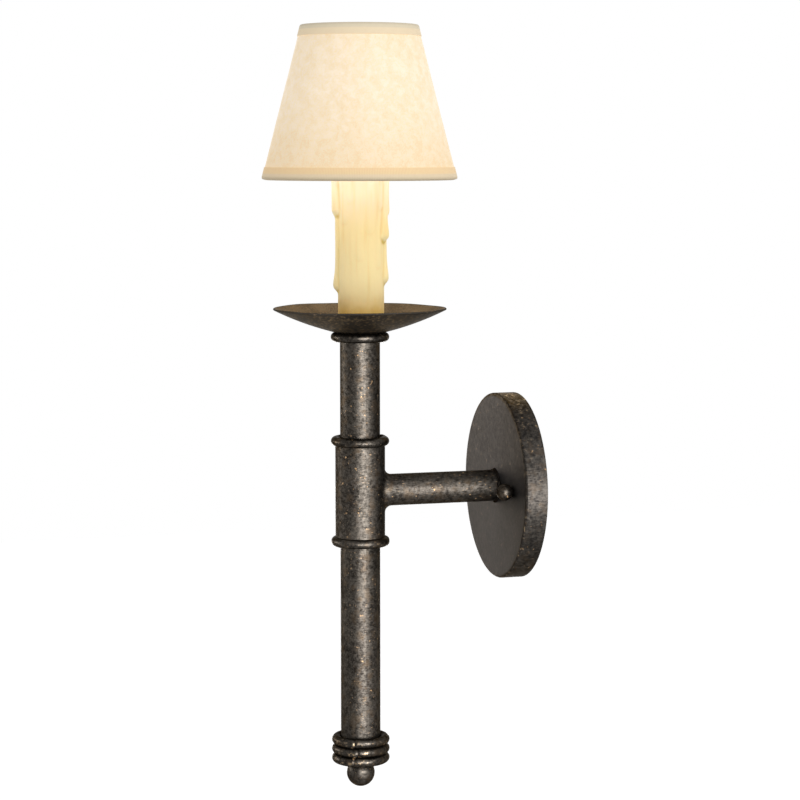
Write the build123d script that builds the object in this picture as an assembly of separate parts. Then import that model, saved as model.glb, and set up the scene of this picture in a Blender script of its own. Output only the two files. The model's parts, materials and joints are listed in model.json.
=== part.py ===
from build123d import *
from math import acos, hypot, sqrt, tan
import os

# Candle wall light: a pipe post held off the wall by one pipe arm, with rod rings, a drip tray,
# a candle sleeve over a candelabra socket, and a small shade clipped to the bulb.
# Millimetres. The origin is on the wall plane, behind the arm. +Z is up and -Y points into the room.

# Pipes and rod
post_od = 26.7
post_wall = 2.9
post_above = 106.65
post_below = 184.65
arm_od = 21.3
arm_wall = 2.8
reach = 110.5
sleeve_od = 33.3
sleeve_length = 61.2
branch_stub = 9.0
root_fillet = 5.0
ring_bar_d = 6.3
ring_flat = 0.15
foot_ring_names = ["foot_ring_lower", "foot_ring_middle", "foot_ring_upper"]
wire_port_d = 9.0
plug_length = 10.0

# Wall plate
plate_d = 126.0
plate_depth = 15.3
plate_sheet = 1.3
plate_edge_r = 2.2

# Crossbar on the outlet box, with its studs and ground screw
bar_end_margin = 3.55
bar_width = 20.0
bar_sheet = 2.0
bar_corner_r = 4.0
bar_port_d = 14.0
slot_spacing = 88.9
slot_length = 10.0
slot_width = 4.8
stud_spacing = 69.85
stud_d = 4.1
stud_nut_flats = 8.7
stud_nut_height = 3.2
ground_offset = 20.0
ground_screw_d = 4.6
ground_head_d = 9.0
ground_head_height = 2.4
driver_slot_width = 1.2
driver_slot_depth = 1.1

# Ball nuts that clamp the wall plate
ball_nut_d = 9.6
ball_nut_flat = 0.6
ball_nut_bore_depth = 6.4
stud_end_gap = 0.8

# Threaded nipples and their nuts
nipple_d = 9.7
nipple_bore = 6.6
nipple_proud = 0.5
bushing_length = 12.0
lock_washer_d = 17.0
lock_washer_sheet = 1.1
locknut_flats = 14.3
locknut_height = 4.0

# Ball finial under the post
finial_d = 18.9
finial_flat = 2.05
finial_stud_d = 6.2
finial_stud_depth = 9.0

# Drip tray
tray_d = 114.5
tray_depth = 15.9
tray_sheet = 1.2
tray_bow = 1.4
tray_flat_margin = 0.65

# Candle sleeve. Each drip: bearing in degrees, length down from the top, radius, and how far it stands out
candle_bore = 23.8
candle_wall = 3.0
candle_height = 105.0
drip_top_gap = 0.8
drip_taper = 0.85
drips = [
    (-107, 29.0, 5.5, 3.9),
    (-103, 79.0, 4.0, 2.8),
    (-64, 33.0, 5.2, 2.0),
    (-17, 57.0, 4.2, 1.6),
    (10, 39.0, 4.6, 1.8),
    (42, 23.0, 5.0, 2.2),
    (62, 45.0, 4.2, 3.0),
    (75, 74.0, 4.0, 2.6),
    (86, 30.0, 4.6, 3.1),
    (122, 53.0, 4.6, 2.4),
    (163, 67.0, 4.2, 2.2),
    (-158, 47.0, 4.8, 2.6),
    (-132, 25.0, 5.0, 2.4),
]

# Candelabra socket on its bracket
seat_washer_sheet = 1.5
bracket_sheet = 1.2
bracket_width = 9.0
bracket_base_d = 15.0
bracket_lap = 14.0
bracket_bend_r = 2.0
socket_recess = 2.5
socket_height = 38.0
shell_wall = 0.6
contact_d = 6.0
contact_height = 1.4
contact_rivet_d = 2.6
rivet_d = 3.0
rivet_head_d = 4.6
rivet_head_height = 0.4

# Bulb
bulb_d = 34.0
bulb_length = 78.0
bulb_bulge = 30.0
bulb_neck_d = 13.2
bulb_glass = 0.8
bulb_tip_r = 3.2
bulb_tip_drop = 2.4
neck_rise = 1.6
collar_wall = 0.4
collar_height = 3.6
base_d = 11.2
base_wall = 0.5
base_length = 14.0
thread_pitch = 2.5
thread_turns = 4
thread_ridge_r = 0.6
insulator_length = 2.4
button_d = 5.0
button_height = 1.4
stem_d = 5.0
stem_length = 22.0
flare_sheet = 1.2
support_d = 0.9
support_spread = 7.0
support_length = 40.0
filament_d = 0.7
filament_rise = 9.0

# Shade, over its trim
shade_bottom_d = 130.0
shade_top_d = 78.0
shade_height = 100.0
shade_sheet = 0.8
trim_sheet = 0.5
trim_width = 8.0
trim_turn_in = 4.5
frame_wire_d = 2.4
arm_wire_d = 2.0
spider_arms = 3
hub_drop = 9.0
hub_washer_d = 20.0
hub_washer_sheet = 1.4

# Bulb clip
clip_rise = 10.3
clip_wire_d = 1.6
clip_width = 14.0
clip_below = 6.0
clip_shoulder = 14.0
clip_shoulder_r = 6.0
clip_root = 2.6
rivet_shank_d = 4.6
rivet_cap_d = 9.0
rivet_cap_height = 2.0
rivet_cap_round = 1.2
clip_collar_d = 9.0
clip_collar_height = 5.0

# Wiring inside
lead_d = 1.8
lead_pitch = 2.6
lead_corner_r = 8.5
lead_turn_r = 3.2
lead_bend_r = 6.0
splice_out = 5.2
splice_z = 30.0
splice_lean = 6.0
splice_mouth = 15.0
ground_wire_d = 1.6
ground_drop = 20.0
ground_mouth = 10.0
connector_mouth_d = 10.0
connector_tip_d = 7.0
connector_length = 18.0
connector_bore_depth = 11.0
connector_tip_round = 1.4

# Clearances
seat_gap = 0.03
hole_gap = 0.3
run_gap = 0.08
sleeve_gap = 0.4
bracket_gap = 0.5
glass_gap = 0.35
thread_gap = 0.35
axial_gap = 0.15

# Share of the room at a bend that the bend's arc takes up
bend_share = 0.95

# Places worked out from the sizes above
post_bore = post_od - 2 * post_wall
arm_bore = arm_od - 2 * arm_wall
ring_r = post_od / 2 + ring_bar_d / 2 - ring_flat
ring_pitch = ring_bar_d + seat_gap
sleeve_end = sleeve_length / 2
branch_face = sleeve_od / 2 + branch_stub
arm_end = reach - branch_face
plate_inside = plate_depth - plate_sheet
washer_back = plate_inside - lock_washer_sheet
locknut_back = washer_back - locknut_height
nipple_back = locknut_back - nipple_proud
stud_hole_d = stud_d + 2 * hole_gap
bar_length = slot_spacing + slot_length + 2 * bar_end_margin
tray_floor = post_above + tray_sheet
candle_od = candle_bore + 2 * candle_wall
candle_top = tray_floor + candle_height
seat_washer_d = candle_bore - 2 * sleeve_gap
seat_washer_top = tray_floor + seat_washer_sheet
tray_nut_top = seat_washer_top + locknut_height
bracket_top_of_base = tray_nut_top + bracket_sheet
candle_nipple_top = bracket_top_of_base + nipple_proud
bracket_x = sqrt((candle_bore / 2 - bracket_gap) ** 2 - (bracket_width / 2) ** 2)
socket_d = 2 * (bracket_x - bracket_sheet - seat_gap)
socket_rim = candle_top - socket_recess
socket_foot = socket_rim - socket_height
bracket_tip = socket_foot + bracket_lap
rivet_z = socket_foot + bracket_lap / 2
neck_z = socket_rim + neck_rise
bulge_z = neck_z + bulb_bulge
base_top = neck_z - neck_rise / 2
base_foot = base_top - base_length
button_foot = base_foot - insulator_length - button_height
shell_bore = base_d + 2 * (thread_ridge_r + thread_gap)
shell_od = shell_bore + 2 * shell_wall
thread_top = base_top - thread_pitch
contact_top = button_foot - axial_gap
contact_foot = contact_top - contact_height
hub_z = neck_z + bulb_length + clip_rise
shade_top = hub_z + hub_drop
shade_foot = shade_top - shade_height
lead_x = lead_pitch / 2

# Frames: a shape made along +Z goes out from the wall, or stands on the post's axis
from_wall = Rot(90, 0, 0)
on_post = Pos(0, -reach, 0)
standing = (Align.CENTER, Align.CENTER, Align.MIN)


def rod(diameter, bottom, top):
    # A round bar along Z between two heights
    return Pos(0, 0, bottom) * Cylinder(diameter / 2, top - bottom, align=standing)


def pipe(outer, inner, bottom, top):
    return rod(outer, bottom, top) - rod(inner, bottom, top)


def turned(*edges):
    # A solid of revolution about Z from a closed outline of radius and height
    return revolve(Plane.XZ * make_face(edges), Axis.Z)


def turned_corners(corners):
    return turned(Polyline(*corners, close=True))


def hex_nut(flats, hole, bottom, top):
    hexagon = RegularPolygon(flats / 2, 6, major_radius=False)
    return Pos(0, 0, bottom) * extrude(hexagon - Circle(hole / 2), top - bottom)


def wire(diameter, points, radii):
    # A round wire along straight runs joined by tangent arcs
    path = FilletPolyline(*points, radius=radii)
    return sweep(Plane(origin=path @ 0, z_dir=path % 0) * Circle(diameter / 2), path=path)


def group(solids):
    return Compound(children=[solid for piece in solids for solid in piece.solids()])


# The wall end

def backplate():
    # A spun dish with a rounded front edge, open to the wall
    outer = rod(plate_d, 0, plate_depth)
    outer = fillet(outer.edges().group_by(Axis.Z)[-1], plate_edge_r)
    inner = rod(plate_d - 2 * plate_sheet, 0, plate_inside)
    inner = fillet(inner.edges().group_by(Axis.Z)[-1], max(plate_edge_r - plate_sheet, plate_sheet / 4))
    dish = outer - inner - rod(nipple_d + 2 * hole_gap, 0, plate_depth)
    for side in (-1, 1):
        dish -= Pos(side * stud_spacing / 2, 0, 0) * rod(stud_hole_d, 0, plate_depth)
    return from_wall * dish


def crossbar():
    blank = RectangleRounded(bar_length, bar_width, bar_corner_r) - Circle(bar_port_d / 2)
    blank -= Pos(-ground_offset, 0) * Circle(ground_screw_d / 2 + seat_gap)
    for side in (-1, 1):
        blank -= Pos(side * slot_spacing / 2, 0) * SlotOverall(slot_length, slot_width)
        blank -= Pos(side * stud_spacing / 2, 0) * Circle(stud_d / 2 + seat_gap)
    return from_wall * extrude(blank, bar_sheet)


def mounting_studs():
    stud = rod(stud_d, 0, plate_depth + ball_nut_bore_depth - stud_end_gap)
    return group(from_wall * Pos(side * stud_spacing / 2, 0, 0) * stud for side in (-1, 1))


def stud_nuts():
    nut = hex_nut(stud_nut_flats, stud_d + 2 * seat_gap, bar_sheet, bar_sheet + stud_nut_height)
    return group(from_wall * Pos(side * stud_spacing / 2, 0, 0) * nut for side in (-1, 1))


def ground_screw():
    under_head = bar_sheet + ground_wire_d + seat_gap
    head_top = under_head + ground_head_height
    screw = rod(ground_screw_d, 0, under_head) + rod(ground_head_d, under_head, head_top)
    screw -= Pos(0, 0, head_top) * Box(ground_head_d, driver_slot_width, 2 * driver_slot_depth)
    return from_wall * Pos(-ground_offset, 0, 0) * screw


def ball_nut(side):
    # A ball with a flat seat on the plate and a blind tapped hole for its stud
    ball = Pos(0, 0, plate_depth + ball_nut_d / 2 - ball_nut_flat) * Sphere(ball_nut_d / 2)
    ball -= rod(ball_nut_d, plate_depth - ball_nut_d, plate_depth)
    ball -= rod(stud_d + 2 * run_gap, plate_depth, plate_depth + ball_nut_bore_depth)
    return from_wall * Pos(side * stud_spacing / 2, 0, 0) * ball


def arm_pieces():
    bushing_end = plate_depth + bushing_length
    thread_hole = nipple_d + 2 * seat_gap
    return {
        "arm_tube": from_wall * pipe(arm_od, arm_bore, plate_depth, arm_end),
        "arm_bushing": from_wall * pipe(arm_bore - 2 * seat_gap, thread_hole, plate_depth, bushing_end),
        "arm_nipple": from_wall * pipe(nipple_d, nipple_bore, nipple_back, bushing_end),
        "arm_lock_washer": from_wall * pipe(lock_washer_d, thread_hole, washer_back, plate_inside),
        "arm_locknut": from_wall * hex_nut(locknut_flats, thread_hole, locknut_back, washer_back),
    }


# The post

def tee_sleeve():
    # The sleeve on the post and the stub that the arm meets, blended by a root fillet
    body = rod(sleeve_od, -sleeve_end, sleeve_end)
    stub = Rot(-90, 0, 0) * rod(arm_od, 0, branch_face)
    tee = body + stub
    seam = [edge for edge in tee.edges() if edge.geom_type not in (GeomType.LINE, GeomType.CIRCLE)]
    tee = fillet(seam, root_fillet)
    tee -= rod(post_od + 2 * seat_gap, -sleeve_end, sleeve_end)
    tee -= Rot(-90, 0, 0) * rod(arm_bore, 0, branch_face)
    return on_post * tee


def post_tube():
    port = Rot(-90, 0, 0) * rod(wire_port_d, 0, post_od)
    return on_post * (pipe(post_od, post_bore, -post_below, post_above) - port)


def ring(height):
    # A ring of round rod with a narrow flat bored to the post
    hoop = Torus(ring_r, ring_bar_d / 2) - rod(post_od + 2 * seat_gap, -ring_bar_d, ring_bar_d)
    return on_post * Pos(0, 0, height) * hoop


def rings():
    tee_ring = sleeve_end + ring_bar_d / 2
    found = {
        "tray_ring": ring(post_above - ring_bar_d / 2),
        "tee_upper_ring": ring(tee_ring),
        "tee_lower_ring": ring(-tee_ring),
    }
    for row, name in enumerate(foot_ring_names):
        found[name] = ring(ring_bar_d / 2 + row * ring_pitch - post_below)
    return found


def post_plugs():
    plug_d = post_bore - 2 * seat_gap
    top = pipe(plug_d, nipple_d + 2 * seat_gap, post_above - plug_length, post_above)
    foot = pipe(plug_d, finial_stud_d + 2 * seat_gap, -post_below, plug_length - post_below)
    return {"post_top_plug": on_post * top, "post_foot_plug": on_post * foot}


def finial():
    # A ball with a flat that bears on the foot plug, held by a stud in a blind hole
    stud_foot = -post_below - finial_stud_depth
    stud = rod(finial_stud_d, stud_foot, plug_length - post_below)
    ball = Pos(0, 0, finial_flat - finial_d / 2 - post_below) * Sphere(finial_d / 2)
    ball -= rod(finial_d, -post_below, finial_d - post_below)
    ball -= rod(finial_stud_d + 2 * seat_gap, stud_foot - stud_end_gap, -post_below)
    return {"finial_stud": on_post * stud, "ball_finial": on_post * ball}


# The tray and the candle

def drip_tray():
    # A spun pan: a flat seat, then a gently bowed wall that flares to a plain edge
    flat_r = ring_r + tray_flat_margin
    run = tray_d / 2 - flat_r
    chord = hypot(run, tray_depth)
    bow_r = chord ** 2 / (8 * tray_bow) + tray_bow / 2
    lift = (bow_r - tray_bow) / chord
    centre = Vector(flat_r + run / 2 - tray_depth * lift, tray_depth / 2 + run * lift)
    inner_r = bow_r - tray_sheet

    def on_wall(radius, share):
        # A point on the bowed wall, a share of the way from the flat to the edge
        along = Vector(flat_r + run * share, tray_depth * share) - centre
        return centre + along.normalized() * radius

    edge = Vector(tray_d / 2, tray_depth)
    inner_edge = on_wall(inner_r, 1)
    inner_flat = centre.X + sqrt(inner_r ** 2 - (centre.Y - tray_sheet) ** 2)
    hole_r = nipple_d / 2 + hole_gap
    outline = [
        Line((hole_r, 0), (flat_r, 0)),
        ThreePointArc((flat_r, 0), on_wall(bow_r, 0.5), edge),
        Line(edge, inner_edge),
        ThreePointArc(inner_edge, on_wall(inner_r, 0.5), (inner_flat, tray_sheet)),
        Line((inner_flat, tray_sheet), (hole_r, tray_sheet)),
        Line((hole_r, tray_sheet), (hole_r, 0)),
    ]
    return on_post * Pos(0, 0, post_above) * turned(*outline)


def tray_fasteners():
    thread_hole = nipple_d + 2 * seat_gap
    return {
        "candle_nipple": on_post * pipe(nipple_d, nipple_bore, post_above - plug_length, candle_nipple_top),
        "candle_seat_washer": on_post * pipe(seat_washer_d, thread_hole, tray_floor, seat_washer_top),
        "tray_locknut": on_post * hex_nut(locknut_flats, thread_hole, seat_washer_top, tray_nut_top),
    }


def drip(bearing, length, radius, proud):
    # A run of wax: a slightly tapered round with a ball tip, part sunk in the sleeve's wall
    start = candle_height - length + radius
    end = candle_height - drip_top_gap - radius * drip_taper
    run = Cone(radius, radius * drip_taper, end - start, align=standing)
    wax = Pos(0, 0, start) * (run + Sphere(radius)) + Pos(0, 0, end) * Sphere(radius * drip_taper)
    return Rot(0, 0, bearing) * Pos(candle_od / 2 + proud - radius, 0, 0) * wax


def candle_sleeve():
    sleeve = rod(candle_od, 0, candle_height)
    for run in drips:
        sleeve += drip(*run)
    return on_post * Pos(0, 0, tray_floor) * (sleeve - rod(candle_bore, 0, candle_height))


def socket_bracket():
    # A strap bent into a U, tapped at its base for the nipple
    height = bracket_tip - tray_nut_top
    strap = Box(2 * bracket_x, bracket_width, height, align=standing)
    strap = fillet(strap.edges().filter_by(Axis.Y).group_by(Axis.Z)[0], bracket_bend_r)
    inside = Box(2 * (bracket_x - bracket_sheet), bracket_width, height, align=standing)
    inside = fillet(inside.edges().filter_by(Axis.Y).group_by(Axis.Z)[0], bracket_bend_r - bracket_sheet)
    strap = strap - Pos(0, 0, bracket_sheet) * inside + rod(bracket_base_d, 0, bracket_sheet)
    strap -= rod(nipple_d + 2 * seat_gap, 0, bracket_sheet)
    rivet_hole = Rot(0, 90, 0) * Cylinder(rivet_d / 2 + seat_gap, 2 * candle_od)
    return on_post * (Pos(0, 0, tray_nut_top) * strap - Pos(0, 0, rivet_z) * rivet_hole)


def socket_pieces():
    pocket = shell_od + 2 * seat_gap
    rivet_foot = contact_foot - contact_height
    body = rod(socket_d, socket_foot, socket_rim) - rod(pocket, contact_foot, socket_rim)
    body -= rod(contact_rivet_d + 2 * seat_gap, rivet_foot, contact_foot)
    rivet_hole = Rot(0, 90, 0) * Cylinder(rivet_d / 2 + seat_gap, 2 * socket_d)
    body -= Pos(0, 0, rivet_z) * rivet_hole
    head_x = bracket_x + rivet_head_height
    across = Rot(0, 90, 0) * rod(rivet_d, -head_x, head_x)
    for side in (-1, 1):
        across += Rot(0, 90 * side, 0) * rod(rivet_head_d, bracket_x, head_x)
    shell = pipe(shell_od, shell_bore, contact_foot, socket_rim)
    contact = rod(contact_d, contact_foot, contact_top) + rod(contact_rivet_d, rivet_foot, contact_foot)
    return {
        "socket_body": on_post * body,
        "socket_shell": on_post * shell,
        "socket_contact": on_post * contact,
        "socket_rivet": on_post * Pos(0, 0, rivet_z) * across,
    }


# The bulb

def bulb_envelope(inset):
    # The torpedo bulb's solid outline: neck, widest ring and rounded tip, taken in by an inset
    neck_r = bulb_neck_d / 2 - inset
    wide_r = bulb_d / 2 - inset
    tip = bulb_length - inset
    neck = (neck_r, 0)
    neck_top = (neck_r, collar_height)
    wide = (wide_r, bulb_bulge)
    shoulder = (bulb_tip_r, tip - bulb_tip_drop)
    lower = Spline(neck_top, wide, tangents=[(0, 1), (0, 1)])
    upper = Spline(wide, shoulder, (0, tip), tangents=[(0, 1), (-1, 0)])
    return turned(Line(neck, neck_top), lower, upper, Line((0, tip), (0, 0)), Line((0, 0), neck))


def bulb_pieces():
    glass = bulb_envelope(0) - bulb_envelope(bulb_glass)
    neck_r = bulb_neck_d / 2
    collar_r = neck_r + seat_gap + collar_wall
    screw_r = base_d / 2
    bore_r = screw_r - base_wall
    step = base_top + base_wall
    base = turned_corners([
        (bore_r, base_foot),
        (screw_r, base_foot),
        (screw_r, base_top),
        (collar_r, base_top),
        (collar_r, neck_z + collar_height),
        (collar_r - collar_wall, neck_z + collar_height),
        (collar_r - collar_wall, step),
        (bore_r, step),
    ])
    for turn in range(thread_turns):
        ridge = Torus(screw_r, thread_ridge_r) - rod(2 * bore_r, -thread_pitch, thread_pitch)
        base += Pos(0, 0, thread_top - turn * thread_pitch) * ridge
    insulator_foot = base_foot - insulator_length
    insulator = Pos(0, 0, insulator_foot) * Cone(button_d / 2, screw_r, insulator_length, align=standing)
    button = rod(button_d, button_foot, insulator_foot)
    button = fillet(button.edges().group_by(Axis.Z)[0], button_height / 2)
    flare = rod(2 * (neck_r - bulb_glass - seat_gap), 0, flare_sheet)
    stem_end = stem_length - stem_d / 2
    stem = flare + rod(stem_d, 0, stem_end) + Pos(0, 0, stem_end) * Sphere(stem_d / 2)
    half = support_spread / 2
    supports = []
    for side in (-1, 1):
        stand = rod(support_d, flare_sheet, support_length)
        supports.append(on_post * Pos(side * half, 0, neck_z) * stand)
    peak = support_length + filament_rise
    arch = [(-half, 0, support_length), (-half, 0, peak), (half, 0, peak), (half, 0, support_length)]
    filament = wire(filament_d, arch, [half * bend_share, half * bend_share])
    return {
        "bulb_glass": on_post * Pos(0, 0, neck_z) * glass,
        "bulb_base": on_post * base,
        "bulb_insulator": on_post * insulator,
        "bulb_button": on_post * button,
        "bulb_stem": on_post * Pos(0, 0, neck_z) * stem,
        "bulb_supports": group(supports),
        "bulb_filament": on_post * Pos(0, 0, neck_z) * filament,
    }


# The shade and its clip

slant_run = (shade_top_d - shade_bottom_d) / 2
slant = hypot(slant_run, shade_height)


def on_slant(up, inward):
    # A point of the shade's section: up its slope from the foot, and in from the trim's face
    radius = shade_bottom_d / 2 + (slant_run * up - shade_height * inward) / slant
    height = shade_foot + (shade_height * up + slant_run * inward) / slant
    return (radius, height)


panel_in = trim_sheet + seat_gap
wire_in = panel_in + shade_sheet + seat_gap
wire_centre_in = wire_in + frame_wire_d / 2
trim_back = wire_in + frame_wire_d + seat_gap
wire_up = trim_sheet + seat_gap + frame_wire_d / 2
top_wire_r, top_wire_z = on_slant(slant - wire_up, wire_centre_in)
foot_wire_r, foot_wire_z = on_slant(wire_up, wire_centre_in)


def trim(from_end):
    # Tape folded round the panel's edge and its wire: outside face, edge and inside turn
    corners = [
        (0, 0),
        (trim_width, 0),
        (trim_width, trim_sheet),
        (trim_sheet, trim_sheet),
        (trim_sheet, trim_back),
        (trim_turn_in, trim_back),
        (trim_turn_in, trim_back + trim_sheet),
        (0, trim_back + trim_sheet),
    ]
    return turned_corners([on_slant(from_end(up), inward) for up, inward in corners])


def spider():
    # A washer at the hub and bent wires that run out under the trim and up to the top wire
    washer = pipe(hub_washer_d, rivet_shank_d + 2 * run_gap, -hub_washer_sheet / 2, hub_washer_sheet / 2)
    below_wire = slant - wire_up - frame_wire_d / 2 - seat_gap
    end_r, end_z = on_slant(below_wire, wire_centre_in)
    rise = (end_z - hub_z) * slant / shade_height
    corner_r, corner_z = on_slant(below_wire - rise, wire_centre_in)
    bend_r = bend_share * rise / tan(acos(slant_run / slant) / 2)
    route = [(rivet_shank_d, 0, corner_z), (corner_r, 0, corner_z), (end_r, 0, end_z)]
    leg = wire(arm_wire_d, route, [bend_r])
    leg -= rod(hub_washer_d + 2 * seat_gap, hub_z - hub_washer_d, hub_z + hub_washer_d)
    legs = [on_post * Rot(0, 0, 360 / spider_arms * (turn + 0.5)) * leg for turn in range(spider_arms)]
    return {"spider_washer": on_post * Pos(0, 0, hub_z) * washer, "spider_arms": group(legs)}


def shade_pieces():
    panel_foot = trim_sheet + seat_gap
    panel = turned_corners([
        on_slant(panel_foot, panel_in),
        on_slant(slant - panel_foot, panel_in),
        on_slant(slant - panel_foot, panel_in + shade_sheet),
        on_slant(panel_foot, panel_in + shade_sheet),
    ])
    return {
        "shade_panel": on_post * panel,
        "shade_bottom_trim": on_post * trim(lambda up: up),
        "shade_top_trim": on_post * trim(lambda up: slant - up),
        "shade_bottom_wire": on_post * Pos(0, 0, foot_wire_z) * Torus(foot_wire_r, frame_wire_d / 2),
        "shade_top_wire": on_post * Pos(0, 0, top_wire_z) * Torus(top_wire_r, frame_wire_d / 2),
    }


def clip_pieces():
    # Two wire loops that reach down over the bulb, rooted in a collar riveted to the shade's washer
    washer_foot = hub_z - hub_washer_sheet / 2 - axial_gap
    washer_top = hub_z + hub_washer_sheet / 2 + axial_gap
    collar = rod(clip_collar_d, washer_foot - clip_collar_height, washer_foot)
    shank = rod(rivet_shank_d, washer_foot, washer_top)
    cap = rod(rivet_cap_d, washer_top, washer_top + rivet_cap_height)
    cap = fillet(cap.edges().group_by(Axis.Z)[-1], rivet_cap_round)
    root_z = washer_foot - clip_collar_height / 2
    loop_x = bulb_d / 2 + glass_gap + clip_wire_d / 2
    half = clip_width / 2
    shoulder_z = bulge_z + clip_shoulder
    foot_z = bulge_z - clip_below
    turn_r = half * bend_share
    side = [(loop_x, half, shoulder_z), (clip_collar_d / 4, clip_root, root_z)]
    points = [(x, -y, z) for x, y, z in reversed(side)]
    points += [(loop_x, -half, foot_z), (loop_x, half, foot_z)] + side
    loop = wire(clip_wire_d, points, [clip_shoulder_r, turn_r, turn_r, clip_shoulder_r])
    loop -= rod(clip_collar_d + 2 * seat_gap, root_z - clip_collar_height, root_z + clip_collar_height)
    loops = [on_post * Rot(0, 0, 180 * turn) * loop for turn in range(2)]
    return {"clip_rivet": on_post * (collar + shank + cap), "clip_loops": group(loops)}


# The wiring

def lead(side):
    # From the socket down the post, along the arm and up to its connector behind the plate
    x = side * lead_x
    points = [
        (x, -reach, socket_foot),
        (x, -reach, 0),
        (x, -splice_out, 0),
        (side * splice_lean, -splice_out, splice_z),
        (side * (splice_mouth + connector_bore_depth), -splice_out, splice_z),
    ]
    return wire(lead_d, points, [lead_corner_r, lead_turn_r, lead_bend_r])


def ground_wire():
    # Hooked round the ground screw, then down to its own connector
    y = -bar_sheet - ground_wire_d / 2 - seat_gap / 2
    hook = ground_screw_d / 2 + ground_wire_d / 2 + seat_gap
    points = [
        (hook - ground_offset, y, 0),
        (hook - ground_offset, y, hook),
        (-hook - ground_offset, y, hook),
        (-hook - ground_offset, y, -ground_drop),
        (-ground_mouth - lead_bend_r, -splice_out, -splice_z),
        (connector_bore_depth - ground_mouth, -splice_out, -splice_z),
    ]
    hook_r = hook * bend_share
    return wire(ground_wire_d, points, [hook_r, hook_r, lead_bend_r, lead_turn_r])


def wire_connectors():
    cap = Cone(connector_mouth_d / 2, connector_tip_d / 2, connector_length, align=standing)
    cap = fillet(cap.edges().group_by(Axis.Z)[-1], connector_tip_round)
    on_lead = cap - rod(lead_d + 2 * seat_gap, 0, connector_bore_depth)
    on_ground = cap - rod(ground_wire_d + 2 * seat_gap, 0, connector_bore_depth)
    caps = [Pos(-ground_mouth, -splice_out, -splice_z) * Rot(0, 90, 0) * on_ground]
    for side in (-1, 1):
        caps.append(Pos(side * splice_mouth, -splice_out, splice_z) * Rot(0, 90 * side, 0) * on_lead)
    return group(caps)


nodes = {
    "backplate": backplate(),
    "crossbar": crossbar(),
    "mounting_studs": mounting_studs(),
    "stud_nuts": stud_nuts(),
    "ground_screw": ground_screw(),
    "ball_nut_left": ball_nut(-1),
    "ball_nut_right": ball_nut(1),
    **arm_pieces(),
    "tee_sleeve": tee_sleeve(),
    "post_tube": post_tube(),
    **rings(),
    **post_plugs(),
    **finial(),
    "drip_tray": drip_tray(),
    **tray_fasteners(),
    "candle_sleeve": candle_sleeve(),
    "socket_bracket": socket_bracket(),
    **socket_pieces(),
    **bulb_pieces(),
    **shade_pieces(),
    **spider(),
    **clip_pieces(),
    "lead_hot": lead(1),
    "lead_neutral": lead(-1),
    "ground_wire": ground_wire(),
    "wire_connectors": wire_connectors(),
}

os.makedirs("parts", exist_ok=True)
for name, shape in nodes.items():
    export_step(shape, f"parts/{name}.step")
    print(name, len(shape.solids()), round(shape.volume, 1))
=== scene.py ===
import json
import math

import bpy
import numpy as np
from mathutils import Matrix, Vector


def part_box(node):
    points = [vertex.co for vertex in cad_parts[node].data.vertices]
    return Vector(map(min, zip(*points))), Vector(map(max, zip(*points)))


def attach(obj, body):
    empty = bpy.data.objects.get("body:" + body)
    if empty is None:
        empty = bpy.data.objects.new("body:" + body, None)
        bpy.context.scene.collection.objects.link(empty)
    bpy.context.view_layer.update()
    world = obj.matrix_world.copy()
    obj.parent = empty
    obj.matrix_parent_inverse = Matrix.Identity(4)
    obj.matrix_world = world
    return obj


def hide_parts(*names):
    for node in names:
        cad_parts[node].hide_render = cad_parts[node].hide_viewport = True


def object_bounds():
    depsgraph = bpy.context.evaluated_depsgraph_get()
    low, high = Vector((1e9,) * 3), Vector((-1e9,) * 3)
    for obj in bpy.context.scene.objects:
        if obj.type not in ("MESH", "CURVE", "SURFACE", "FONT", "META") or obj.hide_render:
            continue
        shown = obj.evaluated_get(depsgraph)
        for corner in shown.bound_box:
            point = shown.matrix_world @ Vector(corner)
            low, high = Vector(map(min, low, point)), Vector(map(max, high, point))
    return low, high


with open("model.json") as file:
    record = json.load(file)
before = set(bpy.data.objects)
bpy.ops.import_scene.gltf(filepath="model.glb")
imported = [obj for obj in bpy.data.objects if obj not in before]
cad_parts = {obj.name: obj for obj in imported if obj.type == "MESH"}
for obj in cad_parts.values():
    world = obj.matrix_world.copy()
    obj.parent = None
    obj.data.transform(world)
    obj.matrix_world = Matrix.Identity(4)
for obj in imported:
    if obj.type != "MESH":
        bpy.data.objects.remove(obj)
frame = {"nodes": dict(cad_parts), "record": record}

# Candle wall light: the looks, built round the fixed frame. Metres, +Z up, -Y out into the room.
mm = 0.001
fullTurn = 2 * math.pi
scene = bpy.context.scene
nodes = frame["nodes"]
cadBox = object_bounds()

postLow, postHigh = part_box("post_tube")
postAxis = np.array([(postLow.x + postHigh.x) / 2, (postLow.y + postHigh.y) / 2, 0.0])
postRadius = (postHigh.x - postLow.x) / 2

# two axes to turn round, then the one to go along
upright = np.array([[1.0, 0, 0], [0, 1.0, 0], [0, 0, 1.0]])
outOfWall = np.array([[1.0, 0, 0], [0, 0, 1.0], [0, -1.0, 0]])


# Surfaces on grids

def bearings(columns):
    return np.arange(columns)[None, :] * (fullTurn / columns)


def wrapped(angle):
    # the same angle between minus and plus half a turn
    return (angle + math.pi) % fullTurn - math.pi


def straight(start, end, count):
    # evenly spaced profile points from one corner up to, but without, the next
    share = np.arange(count)[:, None] / count
    return np.array(start) + share * (np.array(end) - np.array(start))


def arc(centre, radius, startDegrees, endDegrees, count):
    # evenly spaced profile points on an arc, without its last one
    angle = np.radians(np.linspace(startDegrees, endDegrees, count, endpoint=False))
    return np.array(centre) + radius * np.stack([np.cos(angle), np.sin(angle)], axis=-1)


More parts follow.
